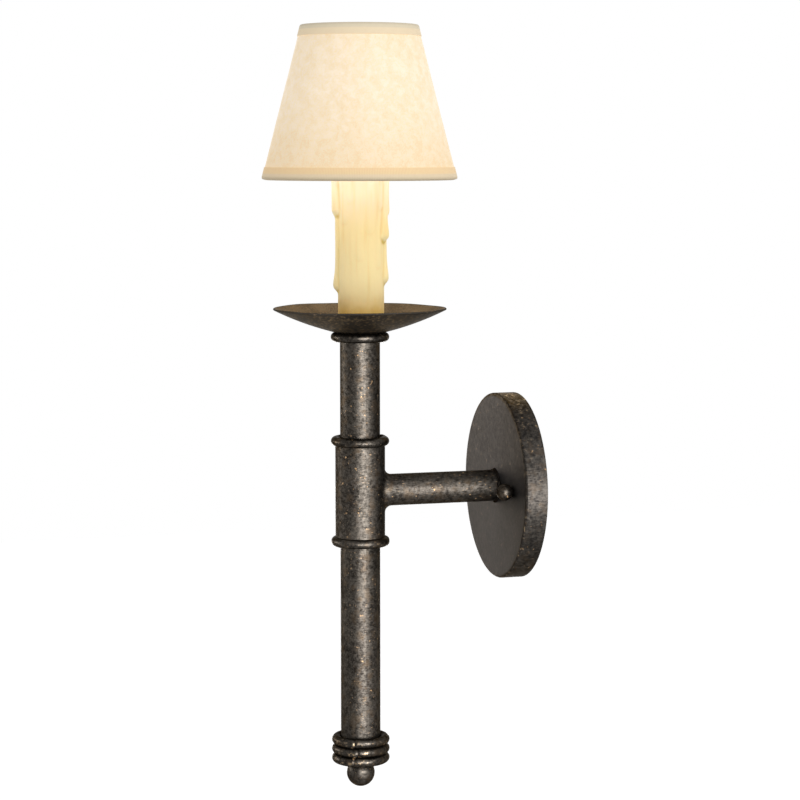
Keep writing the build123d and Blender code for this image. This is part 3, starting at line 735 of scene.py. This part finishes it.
def wallPlate():
    # a spun dish: rear rim, side wall, rounded front edge, face with slow spinning waves, then back along
    # the inside
    low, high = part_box("backplate")
    outer = (high.x - low.x) / 2
    depth = high.y - low.y
    edge = plate["edgeRound"]
    inside = outer - plate["sheet"]
    inDepth = depth - plate["sheet"]
    inRound = plate["innerRound"]
    hole = plate["holeRadius"]
    profile = np.concatenate([
        straight((outer, 0), (outer, depth - edge), 12),
        arc((outer - edge, depth - edge), edge, 0, 90, 12),
        straight((outer - edge, depth), (hole, depth), 60),
        straight((hole, depth), (hole, inDepth), 2),
        straight((hole, inDepth), (inside - inRound, inDepth), 24),
        arc((inside - inRound, inDepth - inRound), inRound, 90, 0, 8),
        straight((inside, inDepth - inRound), (inside, 0), 10),
        [(inside, 0)],
    ])
    bearing = bearings(plate["columns"])
    radius = profile[:, :1]
    height = profile[:, 1:]
    front = np.clip(height / depth, 0, 1) ** 4 * np.clip((radius - 2 * hole) / outer, 0, 1)
    wave = np.sin(radius / (3.4 * mm)) * 0.4 + np.sin(3 * bearing + radius / (9 * mm))
    offEdge = np.hypot(radius - (outer - 0.3 * edge), height - (depth - 0.3 * edge))
    nearEdge = np.exp(-((offEdge / plate["wearReach"]) ** 2))
    onSide = height < depth - edge
    onFace = radius < outer - edge
    upward = np.sin(bearing)
    wear = nearEdge * (plate["edgeWear"] - plate["edgeWearFall"] * upward)
    wear = wear + (plate["sideWear"] + plate["topWearAndLight"] * np.clip(upward, 0, 1)) * onSide
    # painted shadow: the face darker towards its +X side, where the arm and post shade it
    aside = np.clip(radius * np.cos(bearing) / outer, 0, 1)
    # darker near the front edge, most towards the top
    shade_and_grime = plate["edgeDarkening"] * nearEdge * np.clip(upward + 0.3, 0, 1)
    shade_and_grime = shade_and_grime + plate["facePaintedShadow"] * aside * onFace
    calm = np.where(onFace, plate["faceCalm"], plate["sideCalm"])
    height = height - plate["wobble"] * front * (1 + wave) / 2
    points = turned(radius, height, bearing, (0, high.y, 0), outOfWall)
    amounts = {"wear": wear, "calm": calm, "shade_and_grime": shade_and_grime}
    return gridPiece("backplate_dish", points, wrapRows=True, attributes=amounts)


dress(wallPlate(), "fixture", "bronze", "backplate")
print("wall plate")


# Weld where the arm meets the plate

armWeld = {
    "bead": 1.35 * mm,
    "lumps": 11,
    "lumpShare": 0.42,
    "sink": 0.15 * mm,
    "columns": 220,
    "sides": 20,
    "tall": 1.2,  # along the arm, as a share of the bead
    "shade_and_grime": 0.95,
    "lumpClean": 0.2,
    "polish": 0.1,
}


def weldBead():
    # a ring round the arm whose section swells and shrinks along it in uneven lumps, flat where it sits on
    # the plate
    armLow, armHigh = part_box("arm_tube")
    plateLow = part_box("backplate")[0]
    armRadius = (armHigh.x - armLow.x) / 2
    bearing = bearings(armWeld["columns"])
    section = np.arange(armWeld["sides"])[:, None] * (fullTurn / armWeld["sides"])
    lumps = np.abs(np.sin(armWeld["lumps"] * bearing / 2 + 0.5 * np.sin(3 * bearing)))
    lumps = lumps + 0.35 * np.sin(5 * bearing + 1.2)
    size = armWeld["bead"] * (1 - armWeld["lumpShare"] + armWeld["lumpShare"] * lumps)
    radius = armRadius + size * np.cos(section)
    radius = np.maximum(radius, armRadius - armWeld["sink"])
    height = np.maximum(armWeld["tall"] * size * np.sin(section), -armWeld["sink"])
    seat = (0, plateLow.y, (armLow.z + armHigh.z) / 2)
    points = turned(radius, height, bearing, seat, outOfWall)
    # nearly black: dark weld metal, and painted shade in the gap where the arm meets the plate; lumps a
    # little lighter
    shade_and_grime = np.clip(armWeld["shade_and_grime"] - armWeld["lumpClean"] * lumps, 0, 1)
    amounts = {"wear": 0.0, "shade_and_grime": shade_and_grime, "polish": armWeld["polish"]}
    return gridPiece("arm_weld_bead", points, wrapRows=True, attributes=amounts)


dress(weldBead(), "fixture", "bronze")
print("arm weld")


# Balls: the finial under the post and the two nuts on the plate

balls = {
    "columns": 96,
    "rows": 60,
    "nutBore": 2.13 * mm,
    "nutBoreDepth": 6.4 * mm,
    "nutFullness": 1.16,
    "nutWear": 0.35,
    "finialBore": 3.13 * mm,
    "finialBoreShare": 0.5,  # of the finial's radius
    "finialWear": 0.12,
    "polish": 0.35,
}


def ballPiece(name, radius, flatHeight, seat, axes, bore, boreDepth, wear):
    # a ball cut flat at its seat: from the seat's edge round to the pole, with a blind bore from the flat
    middle = radius - flatHeight
    start = -math.degrees(math.asin(middle / radius))
    shell = arc((0, middle), radius, start, 90, balls["rows"])
    profile = np.concatenate([
        [(bore * 0.02, boreDepth), (bore, boreDepth)],
        straight((bore, boreDepth - 0.05 * mm), (bore, 0), 4),
        straight((bore, 0), shell[0], 4),
        shell,
    ])
    bearing = bearings(balls["columns"])
    points = turned(profile[:, :1], profile[:, 1:], bearing, seat, axes)
    foot = np.asarray(seat) + np.array([0, 0, boreDepth]) @ axes
    tip = np.asarray(seat) + np.array([0, 0, middle + radius]) @ axes
    amounts = {"wear": wear, "polish": balls["polish"]}
    return gridPiece(name, points, startPole=foot, endPole=tip, attributes=amounts)


downward = np.array([[1.0, 0, 0], [0, -1.0, 0], [0, 0, -1.0]])
finialLow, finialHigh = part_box("ball_finial")
finialRadius = (finialHigh.x - finialLow.x) / 2
finialFlat = 2 * finialRadius - (finialHigh.z - finialLow.z)
finialSeat = postAxis + np.array([0, 0, finialHigh.z])
finial = ballPiece(
    "ball_finial_turned", finialRadius, finialFlat, finialSeat, downward,
    balls["finialBore"], balls["finialBoreShare"] * finialRadius, balls["finialWear"])
dress(finial, "fixture", "bronze", "ball_finial")
for side in ("left", "right"):
    nutLow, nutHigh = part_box("ball_nut_" + side)
    nutRadius = (nutHigh.x - nutLow.x) / 2 * balls["nutFullness"]
    nutFlat = 2 * nutRadius - (nutHigh.y - nutLow.y) * balls["nutFullness"]
    nutSeat = np.array([(nutLow.x + nutHigh.x) / 2, nutHigh.y, (nutLow.z + nutHigh.z) / 2])
    nut = ballPiece(
        "ball_nut_" + side + "_turned", nutRadius, nutFlat, nutSeat, outOfWall,
        balls["nutBore"], balls["nutBoreDepth"], balls["nutWear"])
    dress(nut, side + "_nut", "bronze", "ball_nut_" + side)
print("ball finial and ball nuts")


# Candle sleeve

candle = {
    "columns": 300,
    "wallRows": 250,
    "rimRows": 10,
    "boreRows": 14,
    "bore": 11.9,  # these lengths in millimetres
    "sleeveRadius": 15.15,
    "offCentre": 0.8,
    "offCentreDegrees": 74,
    "sway": 0.55,
    "swayLength": 9.0,
    "lipHeight": 0.9,
    "lipReach": 5.0,
    "uneven": 0.16,
    "rimDip": 1.0,
    "footFade": 3.0,
    "footRelief": 0.2,  # these are shares and powers
    "swayTurn": 2.4,
    "tipReach": 1.9,
    "neckWidth": 0.78,
    "lipWidening": 0.35,
    "ridgeRound": 0.72,
    "joinPower": 5,
    "meltPasses": 12,
    "creaseRound": 4.5,
    "creaseAlong": 12.0,
    # bearing in degrees, length down from the top, half width, how far the tip stands out, share of that
    # above the tip
    "drips": [
        (-107, 29, 5.6, 4.3, 1.05),
        (-103, 79, 4.2, 3.4, 0.62),
        (-64, 33, 4.6, 0.42, 0.8),
        (-44, 19, 3.6, 0.34, 0.9),
        (-17, 57, 3.0, 0.32, 0.6),
        (10, 39, 3.2, 0.36, 0.8),
        (34, 62, 2.6, 0.35, 0.6),
        (42, 23, 4.6, 0.55, 0.95),
        (62, 45, 4.2, 4.3, 0.74),
        (75, 74, 4.2, 3.2, 0.66),
        (86, 30, 4.6, 4.6, 0.86),
        (122, 53, 4.1, 2.4, 0.7),
        (140, 28, 4.2, 1.8, 0.9),
        (163, 67, 3.9, 2.1, 0.65),
        (-158, 47, 4.3, 2.4, 0.75),
        (-132, 25, 4.6, 2.2, 0.9),
    ],
}


def waxRelief(bearing, drop):
    # each drip is a rounded ridge from the top to a swollen round tip, swaying a little; all join as a
    # smooth maximum, with a lip at the top and slow waves beneath
    columns = [np.array(values, float)[:, None, None] for values in zip(*candle["drips"])]
    dripBearing, length, halfWidth, proud, body = columns
    order = np.arange(len(length))[:, None, None]
    sway = candle["sway"] * np.sin(drop / candle["swayLength"] + candle["swayTurn"] * order)
    aside = candle["sleeveRadius"] * wrapped(bearing - np.radians(dripBearing)) - sway
    tip = length - halfWidth
    nearTip = np.exp(-((drop - tip) / (candle["tipReach"] * halfWidth)) ** 2)
    nearTop = np.exp(-((drop / candle["lipReach"]) ** 2))
    neck = candle["neckWidth"]
    width = halfWidth * (neck + (1 - neck) * nearTip + candle["lipWidening"] * nearTop)
    below = np.maximum(drop - tip, 0)
    inside = np.clip(1 - (aside / width) ** 2 - (below / halfWidth) ** 2, 0, 1)
    ridge = proud * (body + (1 - body) * nearTip) * inside ** candle["ridgeRound"]
    joined = np.sum(ridge ** candle["joinPower"], axis=0) ** (1 / candle["joinPower"])
    lip = candle["lipHeight"] * nearTop * np.exp(-joined)
    slow = np.sin(2 * bearing + drop / 17) + 0.6 * np.sin(5 * bearing - drop / 11 + 1.3)
    slow = slow + 0.3 * np.sin(9 * bearing + drop / 6)
    return joined + lip + candle["uneven"] * slow


def melted(relief):
    # soften the edges of the drips: each pass blends in a quarter of both neighbours, round, then along
    for again in range(candle["meltPasses"]):
        relief = (np.roll(relief, 1, 1) + 2 * relief + np.roll(relief, -1, 1)) / 4
        before = np.concatenate([relief[:1], relief[:-1]])
        after = np.concatenate([relief[1:], relief[-1:]])
        relief = (before + 2 * relief + after) / 4
    return relief


def candleSleeve():
    # outer wall: sleeve radius, a little off centre, plus the relief; then a melted round rim that dips and
    # rises, and a plain bore
    height = (candleHigh.z - candleLow.z) / mm
    bore = candle["bore"]
    bearing = bearings(candle["columns"])
    drop = height * (1 - np.arange(candle["wallRows"])[:, None] / (candle["wallRows"] - 1))
    fade = np.clip((height - drop) / candle["footFade"] + candle["footRelief"], 0, 1)
    relief = melted(waxRelief(bearing, drop)) * fade
    aside = candle["offCentre"] * np.cos(bearing - math.radians(candle["offCentreDegrees"]))
    outer = candle["sleeveRadius"] + aside + relief
    dip = candle["rimDip"] * (0.5 + 0.25 * np.sin(3 * bearing + 0.4) + 0.25 * np.sin(5 * bearing + 2))
    rimTop = height - dip
    rimRound = (candle["sleeveRadius"] - bore) / 2
    outerHeight = (height - drop) / height * (rimTop - rimRound)
    swing = np.radians(np.linspace(0, 180, candle["rimRows"]))[:, None]
    across = (outer[-1:] - bore) / 2
    rimRadius = bore + across * (1 + np.cos(swing))
    rimHeight = rimTop - rimRound + rimRound * np.sin(swing)
    boreShare = np.linspace(0, 1, candle["boreRows"])[1:, None]
    boreHeight = (rimTop - rimRound) * (1 - boreShare)
    radius = np.concatenate([outer, rimRadius[1:], np.full(boreHeight.shape, bore)])
    heights = np.concatenate([outerHeight, rimHeight[1:], boreHeight])
    # where the relief is hollow: the creases between drips, which the wax finish paints in shade
    around = np.roll(relief, 1, 1) + np.roll(relief, -1, 1) - 2 * relief
    along = np.gradient(np.gradient(relief, axis=0), axis=0)
    bend = candle["creaseRound"] * around + candle["creaseAlong"] * along
    hollow = np.zeros(radius.shape)
    hollow[: len(relief)] = np.clip(bend, 0, 1)
    points = turned(radius * mm, candleLow.z + heights * mm, bearing, postAxis, upright)
    return gridPiece("candle_wax", points, wrapRows=True, attributes={"crease": hollow}, sharpDegrees=70)


dress(candleSleeve(), "candle", "wax", "candle_sleeve")
print("candle sleeve", len(candle["drips"]), "drips")


# Shade

shade = {
    "topRadius": 39.0 * mm,
    "sheet": 0.8 * mm,
    "tape": 0.5 * mm,
    "gap": 0.03 * mm,
    "wire": 2.4 * mm,
    "tapeWidth": 8.0 * mm,
    "turnIn": 4.5 * mm,
    "foldReach": 2.2 * mm,
    "panelInset": 1.3 * mm,
    "wireReach": 3.4 * mm,  # where the tape leaves the wire
    "wireSoft": 0.6 * mm,
    "topGlow": 0.85,
    "bottomGlow": 0.8,
    "wireAmber": 0.35,
    "columns": 360,
    "panelRows": 64,
    "uneven": 0.16 * mm,
    "seamDegrees": 128,
    "seamWidth": 11.0 * mm,
    "seamHeight": 0.35 * mm,
    "seamSoft": 0.125 * mm,
    "tapeSeam": 1.6,  # the lap's height under the tape
}
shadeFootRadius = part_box("shade_bottom_trim")[1].x
slope = np.array([shade["topRadius"] - shadeFootRadius, shadeTop - shadeFoot])
slant = float(np.linalg.norm(slope))
upSlope = slope / slant
inSlope = np.array([-upSlope[1], upSlope[0]])


def seamLift(bearing, radius):
    # a lap where the sheet's end lies over its start: flat on top, with soft edges
    aside = np.abs(wrapped(bearing - math.radians(shade["seamDegrees"])) * radius)
    return shade["seamHeight"] / (1 + np.exp((aside - shade["seamWidth"] / 2) / shade["seamSoft"]))


def onSlope(up, inward):
    # up the cone's slope from its foot, and in from the tape's outer face
    return np.array([shadeFootRadius, shadeFoot]) + up * upSlope + inward * inSlope


def shadePanel():
    # a cone wall with slow waves and a lapped seam, outside then inside
    start = shade["panelInset"]
    outside = shade["tape"] + shade["gap"]
    inside = outside + shade["sheet"]
    corners = [onSlope(start, outside), onSlope(slant - start, outside)]
    corners += [onSlope(slant - start, inside), onSlope(start, inside)]
    rows = shade["panelRows"]
    profile = np.concatenate([
        straight(corners[0], corners[1], rows),
        straight(corners[1], corners[2], 2),
        straight(corners[2], corners[3], rows),
        straight(corners[3], corners[0], 2),
    ])
    bearing = bearings(shade["columns"])
    radius = profile[:, :1]
    height = profile[:, 1:]
    share = (height - shadeFoot) / (shadeTop - shadeFoot)
    wave = np.sin(3 * bearing + 4 * share) + 0.7 * np.sin(5 * bearing - 3 * share + 1)
    wave = wave + 0.4 * np.sin(11 * bearing)
    push = shade["uneven"] * wave * 4 * share * (1 - share) + seamLift(bearing, radius)
    points = turned(radius + push, height, bearing, postAxis, upright)
    inner = np.zeros(radius.shape)
    inner[rows + 2 : 2 * rows + 2] = 1.0
    return gridPiece("shade_paper", points, wrapRows=True, attributes={"inside": inner})


def shadeTape(name, atTop):
    # tape folded in a round turn over the wire: outer face, half circle, short inner face, and back inside
    # its thickness
    tape = shade["tape"]
    across = 2 * tape + 3 * shade["gap"] + shade["sheet"] + shade["wire"]
    turnRadius = across / 2
    width = shade["tapeWidth"]
    turnIn = shade["turnIn"]
    centre = (turnRadius, turnRadius)
    section = np.concatenate([
        straight((width, 0), (turnRadius, 0), 14),
        squareArc(centre, turnRadius, 270, 90, 24),
        straight((turnRadius, across), (turnIn, across), 6),
        straight((turnIn, across), (turnIn, across - tape), 2),
        straight((turnIn, across - tape), (turnRadius, across - tape), 6),
        squareArc(centre, turnRadius - tape, 90, 270, 24),
        straight((turnRadius, tape), (width, tape), 14),
        straight((width, tape), (width, 0), 2),
    ])
    if atTop:
        section = section[::-1]
    fromEnd = section[:, :1]
    up = slant - fromEnd if atTop else fromEnd
    spots = np.array([shadeFootRadius, shadeFoot]) + up * upSlope + section[:, 1:] * inSlope
    bearing = bearings(shade["columns"])
    radius = spots[:, :1]
    face = np.clip(1 - section[:, 1:] / turnRadius, 0, 1)
    push = seamLift(bearing, radius) * shade["tapeSeam"] * face
    points = turned(radius + push, spots[:, 1:], bearing, postAxis, upright)
    overPanel = np.clip((fromEnd - shade["wireReach"]) / shade["wireSoft"], 0, 1)
    fold = np.clip(1 - fromEnd / shade["foldReach"], 0, 1)
    amber = shade["wireAmber"] + (1 - shade["wireAmber"]) * overPanel
    amounts = {"overPanel": overPanel[::-1], "fold": fold[::-1]}
    # painted light: the bottom tape warmer than the top one, lit through from behind
    amounts["amber"] = 0.0 if atTop else amber[::-1]
    amounts["nearBulb"] = shade["topGlow"] if atTop else shade["bottomGlow"]
    return gridPiece(name, points[::-1], wrapRows=True, attributes=amounts)


dress(shadePanel(), "shade", "parchment", "shade_panel")
dress(shadeTape("shade_tape_bottom", False), "shade", "trim_tape", "shade_bottom_trim")
dress(shadeTape("shade_tape_top", True), "shade", "trim_tape", "shade_top_trim")
print("shade")


# Lamp filament

filament = {"radius": 0.28 * mm, "wire": 0.11 * mm, "turns": 64, "steps": 1400, "sides": 6}


def filamentCoil():
    # a fine helix wound round an arch: two straight legs and a half circle between the support wires
    low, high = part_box("bulb_filament")
    half = (high.x - low.x) / 2 - (high.y - low.y) / 2
    crown = high.z - (high.y - low.y) / 2 - half
    foot = low.z
    leg = crown - foot
    share = np.linspace(0, 1, filament["steps"])
    along = share * (2 * leg + math.pi * half)
    swing = np.clip((along - leg) / half, 0, math.pi)
    past = np.maximum(along - leg - math.pi * half, 0)
    archX = -half * np.cos(swing)
    archZ = crown + half * np.sin(swing) - np.maximum(leg - along, 0) - past
    spin = share * filament["turns"] * fullTurn
    outward = filament["radius"] * np.cos(spin)
    across = filament["radius"] * np.sin(spin)
    path = [archX - outward * np.cos(swing), across, archZ + outward * np.sin(swing)]
    path = np.stack(path, axis=-1) + postAxis
    along = np.gradient(path, axis=0)
    along = along / np.linalg.norm(along, axis=1, keepdims=True)
    side = np.cross(along, (0.0, 1.0, 0.0))
    side = side / np.linalg.norm(side, axis=1, keepdims=True)
    over = np.cross(along, side)
    bearing = bearings(filament["sides"])[..., None]
    ring = np.cos(bearing) * side[:, None, :] + np.sin(bearing) * over[:, None, :]
    points = path[:, None, :] + filament["wire"] * ring
    return gridPiece("filament_coil", points, startPole=path[0], endPole=path[-1])


dress(filamentCoil(), "bulb", "tungsten", "bulb_filament")
print("filament")


# Wire connectors behind the plate

connectors = {
    # place of each mouth in mm, and the way it points
    "mouths": [(-10.0, -5.2, -30.0, 1), (15.0, -5.2, 30.0, 1), (-15.0, -5.2, 30.0, -1)],
    "mouthRadius": 5.0 * mm,
    "tipRadius": 3.5 * mm,
    "length": 18.0 * mm,
    "tipRound": 1.4 * mm,
    "bore": 1.4 * mm,
    "boreDepth": 11.0 * mm,
    "ribs": 16,
    "ribDepth": 0.45 * mm,
    "collar": 4.0 * mm,
    "ribStart": 1.0 * mm,
    "ribEnd": 1.5 * mm,
    "columns": 128,
}


def wireConnector(index, x, y, z, way):
    # a tapered cap: radius falls along it, less a rib depth that swings round it between a plain collar and
    # the tip
    length = connectors["length"]
    tipRound = connectors["tipRound"]
    tip = connectors["tipRadius"]
    bore = connectors["bore"]
    depth = connectors["boreDepth"]
    profile = np.concatenate([
        [(bore * 0.02, depth), (bore, depth)],
        straight((bore, depth - 0.2 * mm), (bore, 0), 4),
        straight((bore, 0), (connectors["mouthRadius"], 0), 4),
        straight((connectors["mouthRadius"], 0), (tip, length - tipRound), 28),
        arc((tip - tipRound, length - tipRound), tipRound, 0, 90, 8),
        straight((tip - tipRound, length), (0.1 * tip, length), 3),
    ])
    radius = profile[:, :1]
    along = profile[:, 1:]
    outside = (radius > 1.6 * bore) & (along > 0.1 * mm)
    ribbed = np.clip((along - connectors["collar"]) / connectors["ribStart"], 0, 1)
    ribbed = ribbed * np.clip((length - along) / connectors["ribEnd"] - 1, 0, 1)
    bearing = bearings(connectors["columns"])
    wave = 0.5 - 0.5 * np.cos(connectors["ribs"] * bearing)
    radius = radius - outside * ribbed * connectors["ribDepth"] * wave
    axes = np.array([[0, way, 0], [0, 0, 1.0], [way, 0, 0]], float)
    mouth = np.array([x, y, z]) * mm
    points = turned(radius, along, bearing, mouth, axes)
    foot = mouth + np.array([way * depth, 0, 0])
    end = mouth + np.array([way * length, 0, 0])
    return gridPiece("wire_connector_%d" % index, points, startPole=foot, endPole=end)


caps = [wireConnector(index, *mouth) for index, mouth in enumerate(connectors["mouths"])]
for cap in caps:
    dress(cap, "fixture", "connector_plastic", "wire_connectors")
print("wire connectors", len(caps))


# Floor, light and camera

studio = {
    "floorDrop": 0.30,  # below the finial
    "floorSize": 6.0,
    "floorColour": colour(0.90, 0.90, 0.90),
    "floorLift": 0.62,
    "skyLight": 0.42,
}


def seenRays(tree):
    # 1 for rays that the camera, a mirror or glass sends out
    path = put(tree, "LightPath").outputs
    seen = calc(tree, "MAXIMUM", path["Is Camera Ray"], path["Is Glossy Ray"])
    return calc(tree, "MAXIMUM", seen, path["Is Transmission Ray"])


def paleFloor():
    # one flat square under the light, white where it is seen and clear from below
    half = studio["floorSize"] / 2
    across = np.array([-half, half, half, -half])
    along = np.array([-half, -half, half, half])
    height = np.full(4, cadBox[0].z - studio["floorDrop"])
    mesh = bpy.data.meshes.new("floor")
    mesh.from_pydata(np.stack([across, along, height], axis=-1).tolist(), [], [(0, 1, 2, 3)])
    looks = {"Base_Color": studio["floorColour"], "Emission_Strength": studio["floorLift"]}
    material, tree, into = newMaterial("paleFloor", Roughness=0.9, **looks)[:3]
    lift = mixed(tree, seenRays(tree), colour(0, 0, 0), colour(1, 1, 1))
    connect(tree, [(lift, into["Emission Color"])])
    under = put(tree, "NewGeometry").outputs["Backfacing"]
    clear = put(tree, "BsdfTransparent").outputs[0]
    solid = tree.nodes["Principled BSDF"].outputs[0]
    surface = put(tree, "MixShader", {0: under, 1: solid, 2: clear}).outputs[0]
    connect(tree, [(surface, tree.nodes["Material Output"].inputs["Surface"])])
    mesh.materials.append(material)
    floor = bpy.data.objects.new("floor", mesh)
    scene.collection.objects.link(floor)


def whiteSky():
    # white where it is seen, dimmer as a light
    world = bpy.data.worlds.new("studio")
    scene.world = world
    world.use_nodes = True
    tree = world.node_tree
    shown = {"Value": seenRays(tree), "To Min": studio["skyLight"], "To Max": 1.0}
    into = tree.nodes["Background"].inputs
    connect(tree, [(put(tree, "MapRange", shown).outputs[0], into["Strength"])])
    into["Color"].default_value = colour(1, 1, 1)


camera = {
    "place": Vector((1576.4, -566.68, 227.1)) * mm,
    "azimuth": math.radians(72.93),
    "elevation": math.radians(5.775),
    "roll": math.radians(-0.02),
    "lens": 111.24,
    "sensor": 36.0,
    "clipStart": 0.05,
}


def cameraAxes():
    # right, up and back, from the azimuth and the elevation
    azimuth, elevation = camera["azimuth"], camera["elevation"]
    right = Vector((math.cos(azimuth), math.sin(azimuth), 0))
    level = Vector((math.sin(azimuth), -math.cos(azimuth), 0))
    back = level * math.cos(elevation) + Vector((0, 0, math.sin(elevation)))
    return right, back.cross(right), back


def takeView():
    # the camera where the picture was taken from
    data = bpy.data.cameras.new("camera")
    data.lens = camera["lens"]
    data.sensor_width = camera["sensor"]
    data.clip_start = camera["clipStart"]
    view = bpy.data.objects.new("camera", data)
    scene.collection.objects.link(view)
    turnTo = Matrix([list(axis) for axis in cameraAxes()]).transposed().to_4x4()
    turnTo = turnTo @ Matrix.Rotation(camera["roll"], 4, "Z")
    view.matrix_world = Matrix.Translation(camera["place"]) @ turnTo
    scene.camera = view


postMetal = ["post_tube", "tee_sleeve", "arm_tube", "ball_finial_turned"]
postMetal += [ringName + "_rod" for ringName in rodRings["seamDegrees"]]
postMetal += ["ball_nut_left_turned", "ball_nut_right_turned"]
plateFace = ["backplate_dish"]
plateMetal = plateFace + ["arm_weld_bead"]

# offset from the post: right, up and towards the camera; a lamp with a list lights only those pieces
lamps = {
    "front": {"offset": (0.78, 1.10, 1.14), "size": (0.9, 0.9), "watts": 8.5, "aim": postAxis},
    "strip": {
        "offset": (0.42, -0.07, 1.15), "size": (0.84, 0.84), "watts": 62.0, "aim": (0, -0.11, -0.07),
        "only": postMetal},
    "edge": {
        "offset": (-1.30, 0.09, -0.37), "size": (0.60, 0.30), "watts": 9.0, "aim": (0, -0.11, 0.09),
        "only": postMetal},
    "rim": {
        "offset": (-0.76, 0.36, -0.74), "size": (0.9, 0.9), "watts": 15.0, "aim": (0, -0.02, 0),
        "only": plateFace},
    "side": {
        "offset": (0.87, -0.14, 1.09), "size": (0.6, 0.6), "watts": 27.0, "aim": (0, 0, 0),
        "only": plateMetal},
    "crown": {
        "offset": (0.19, 0.80, -1.04), "size": (0.5, 0.5), "watts": 7.0, "aim": (0, 0, 0.06),
        "only": plateFace},
    "back": {
        "offset": (-0.15, -0.34, -1.40), "size": (0.8, 0.28), "watts": 8.0, "aim": (0, -0.11, -0.1),
        "only": postMetal + plateMetal},
}


def softLamp(name, setting):
    # an area lamp, placed along the camera's level axes and turned to its aim
    right = cameraAxes()[0]
    upward = Vector((0, 0, 1))
    aside, above, nearer = setting["offset"]
    place = Vector(postAxis) + right * aside + upward * above + right.cross(upward) * nearer
    data = bpy.data.lights.new(name, "AREA")
    data.shape = "RECTANGLE"
    data.size, data.size_y = setting["size"]
    data.energy = setting["watts"]
    lamp = bpy.data.objects.new(name, data)
    lamp.location = place
    lamp.rotation_euler = (Vector(setting["aim"]) - place).to_track_quat("-Z", "Y").to_euler()
    scene.collection.objects.link(lamp)
    if "only" in setting:
        lit = bpy.data.collections.new(name + "Lights")
        for label in setting["only"]:
            lit.objects.link(nodes[label] if label in nodes else bpy.data.objects[label])
        lamp.light_linking.receiver_collection = lit


paleFloor()
whiteSky()
for lampName, lampSetting in lamps.items():
    softLamp(lampName, lampSetting)
takeView()
scene.view_settings.view_transform = "Standard"
print("studio")
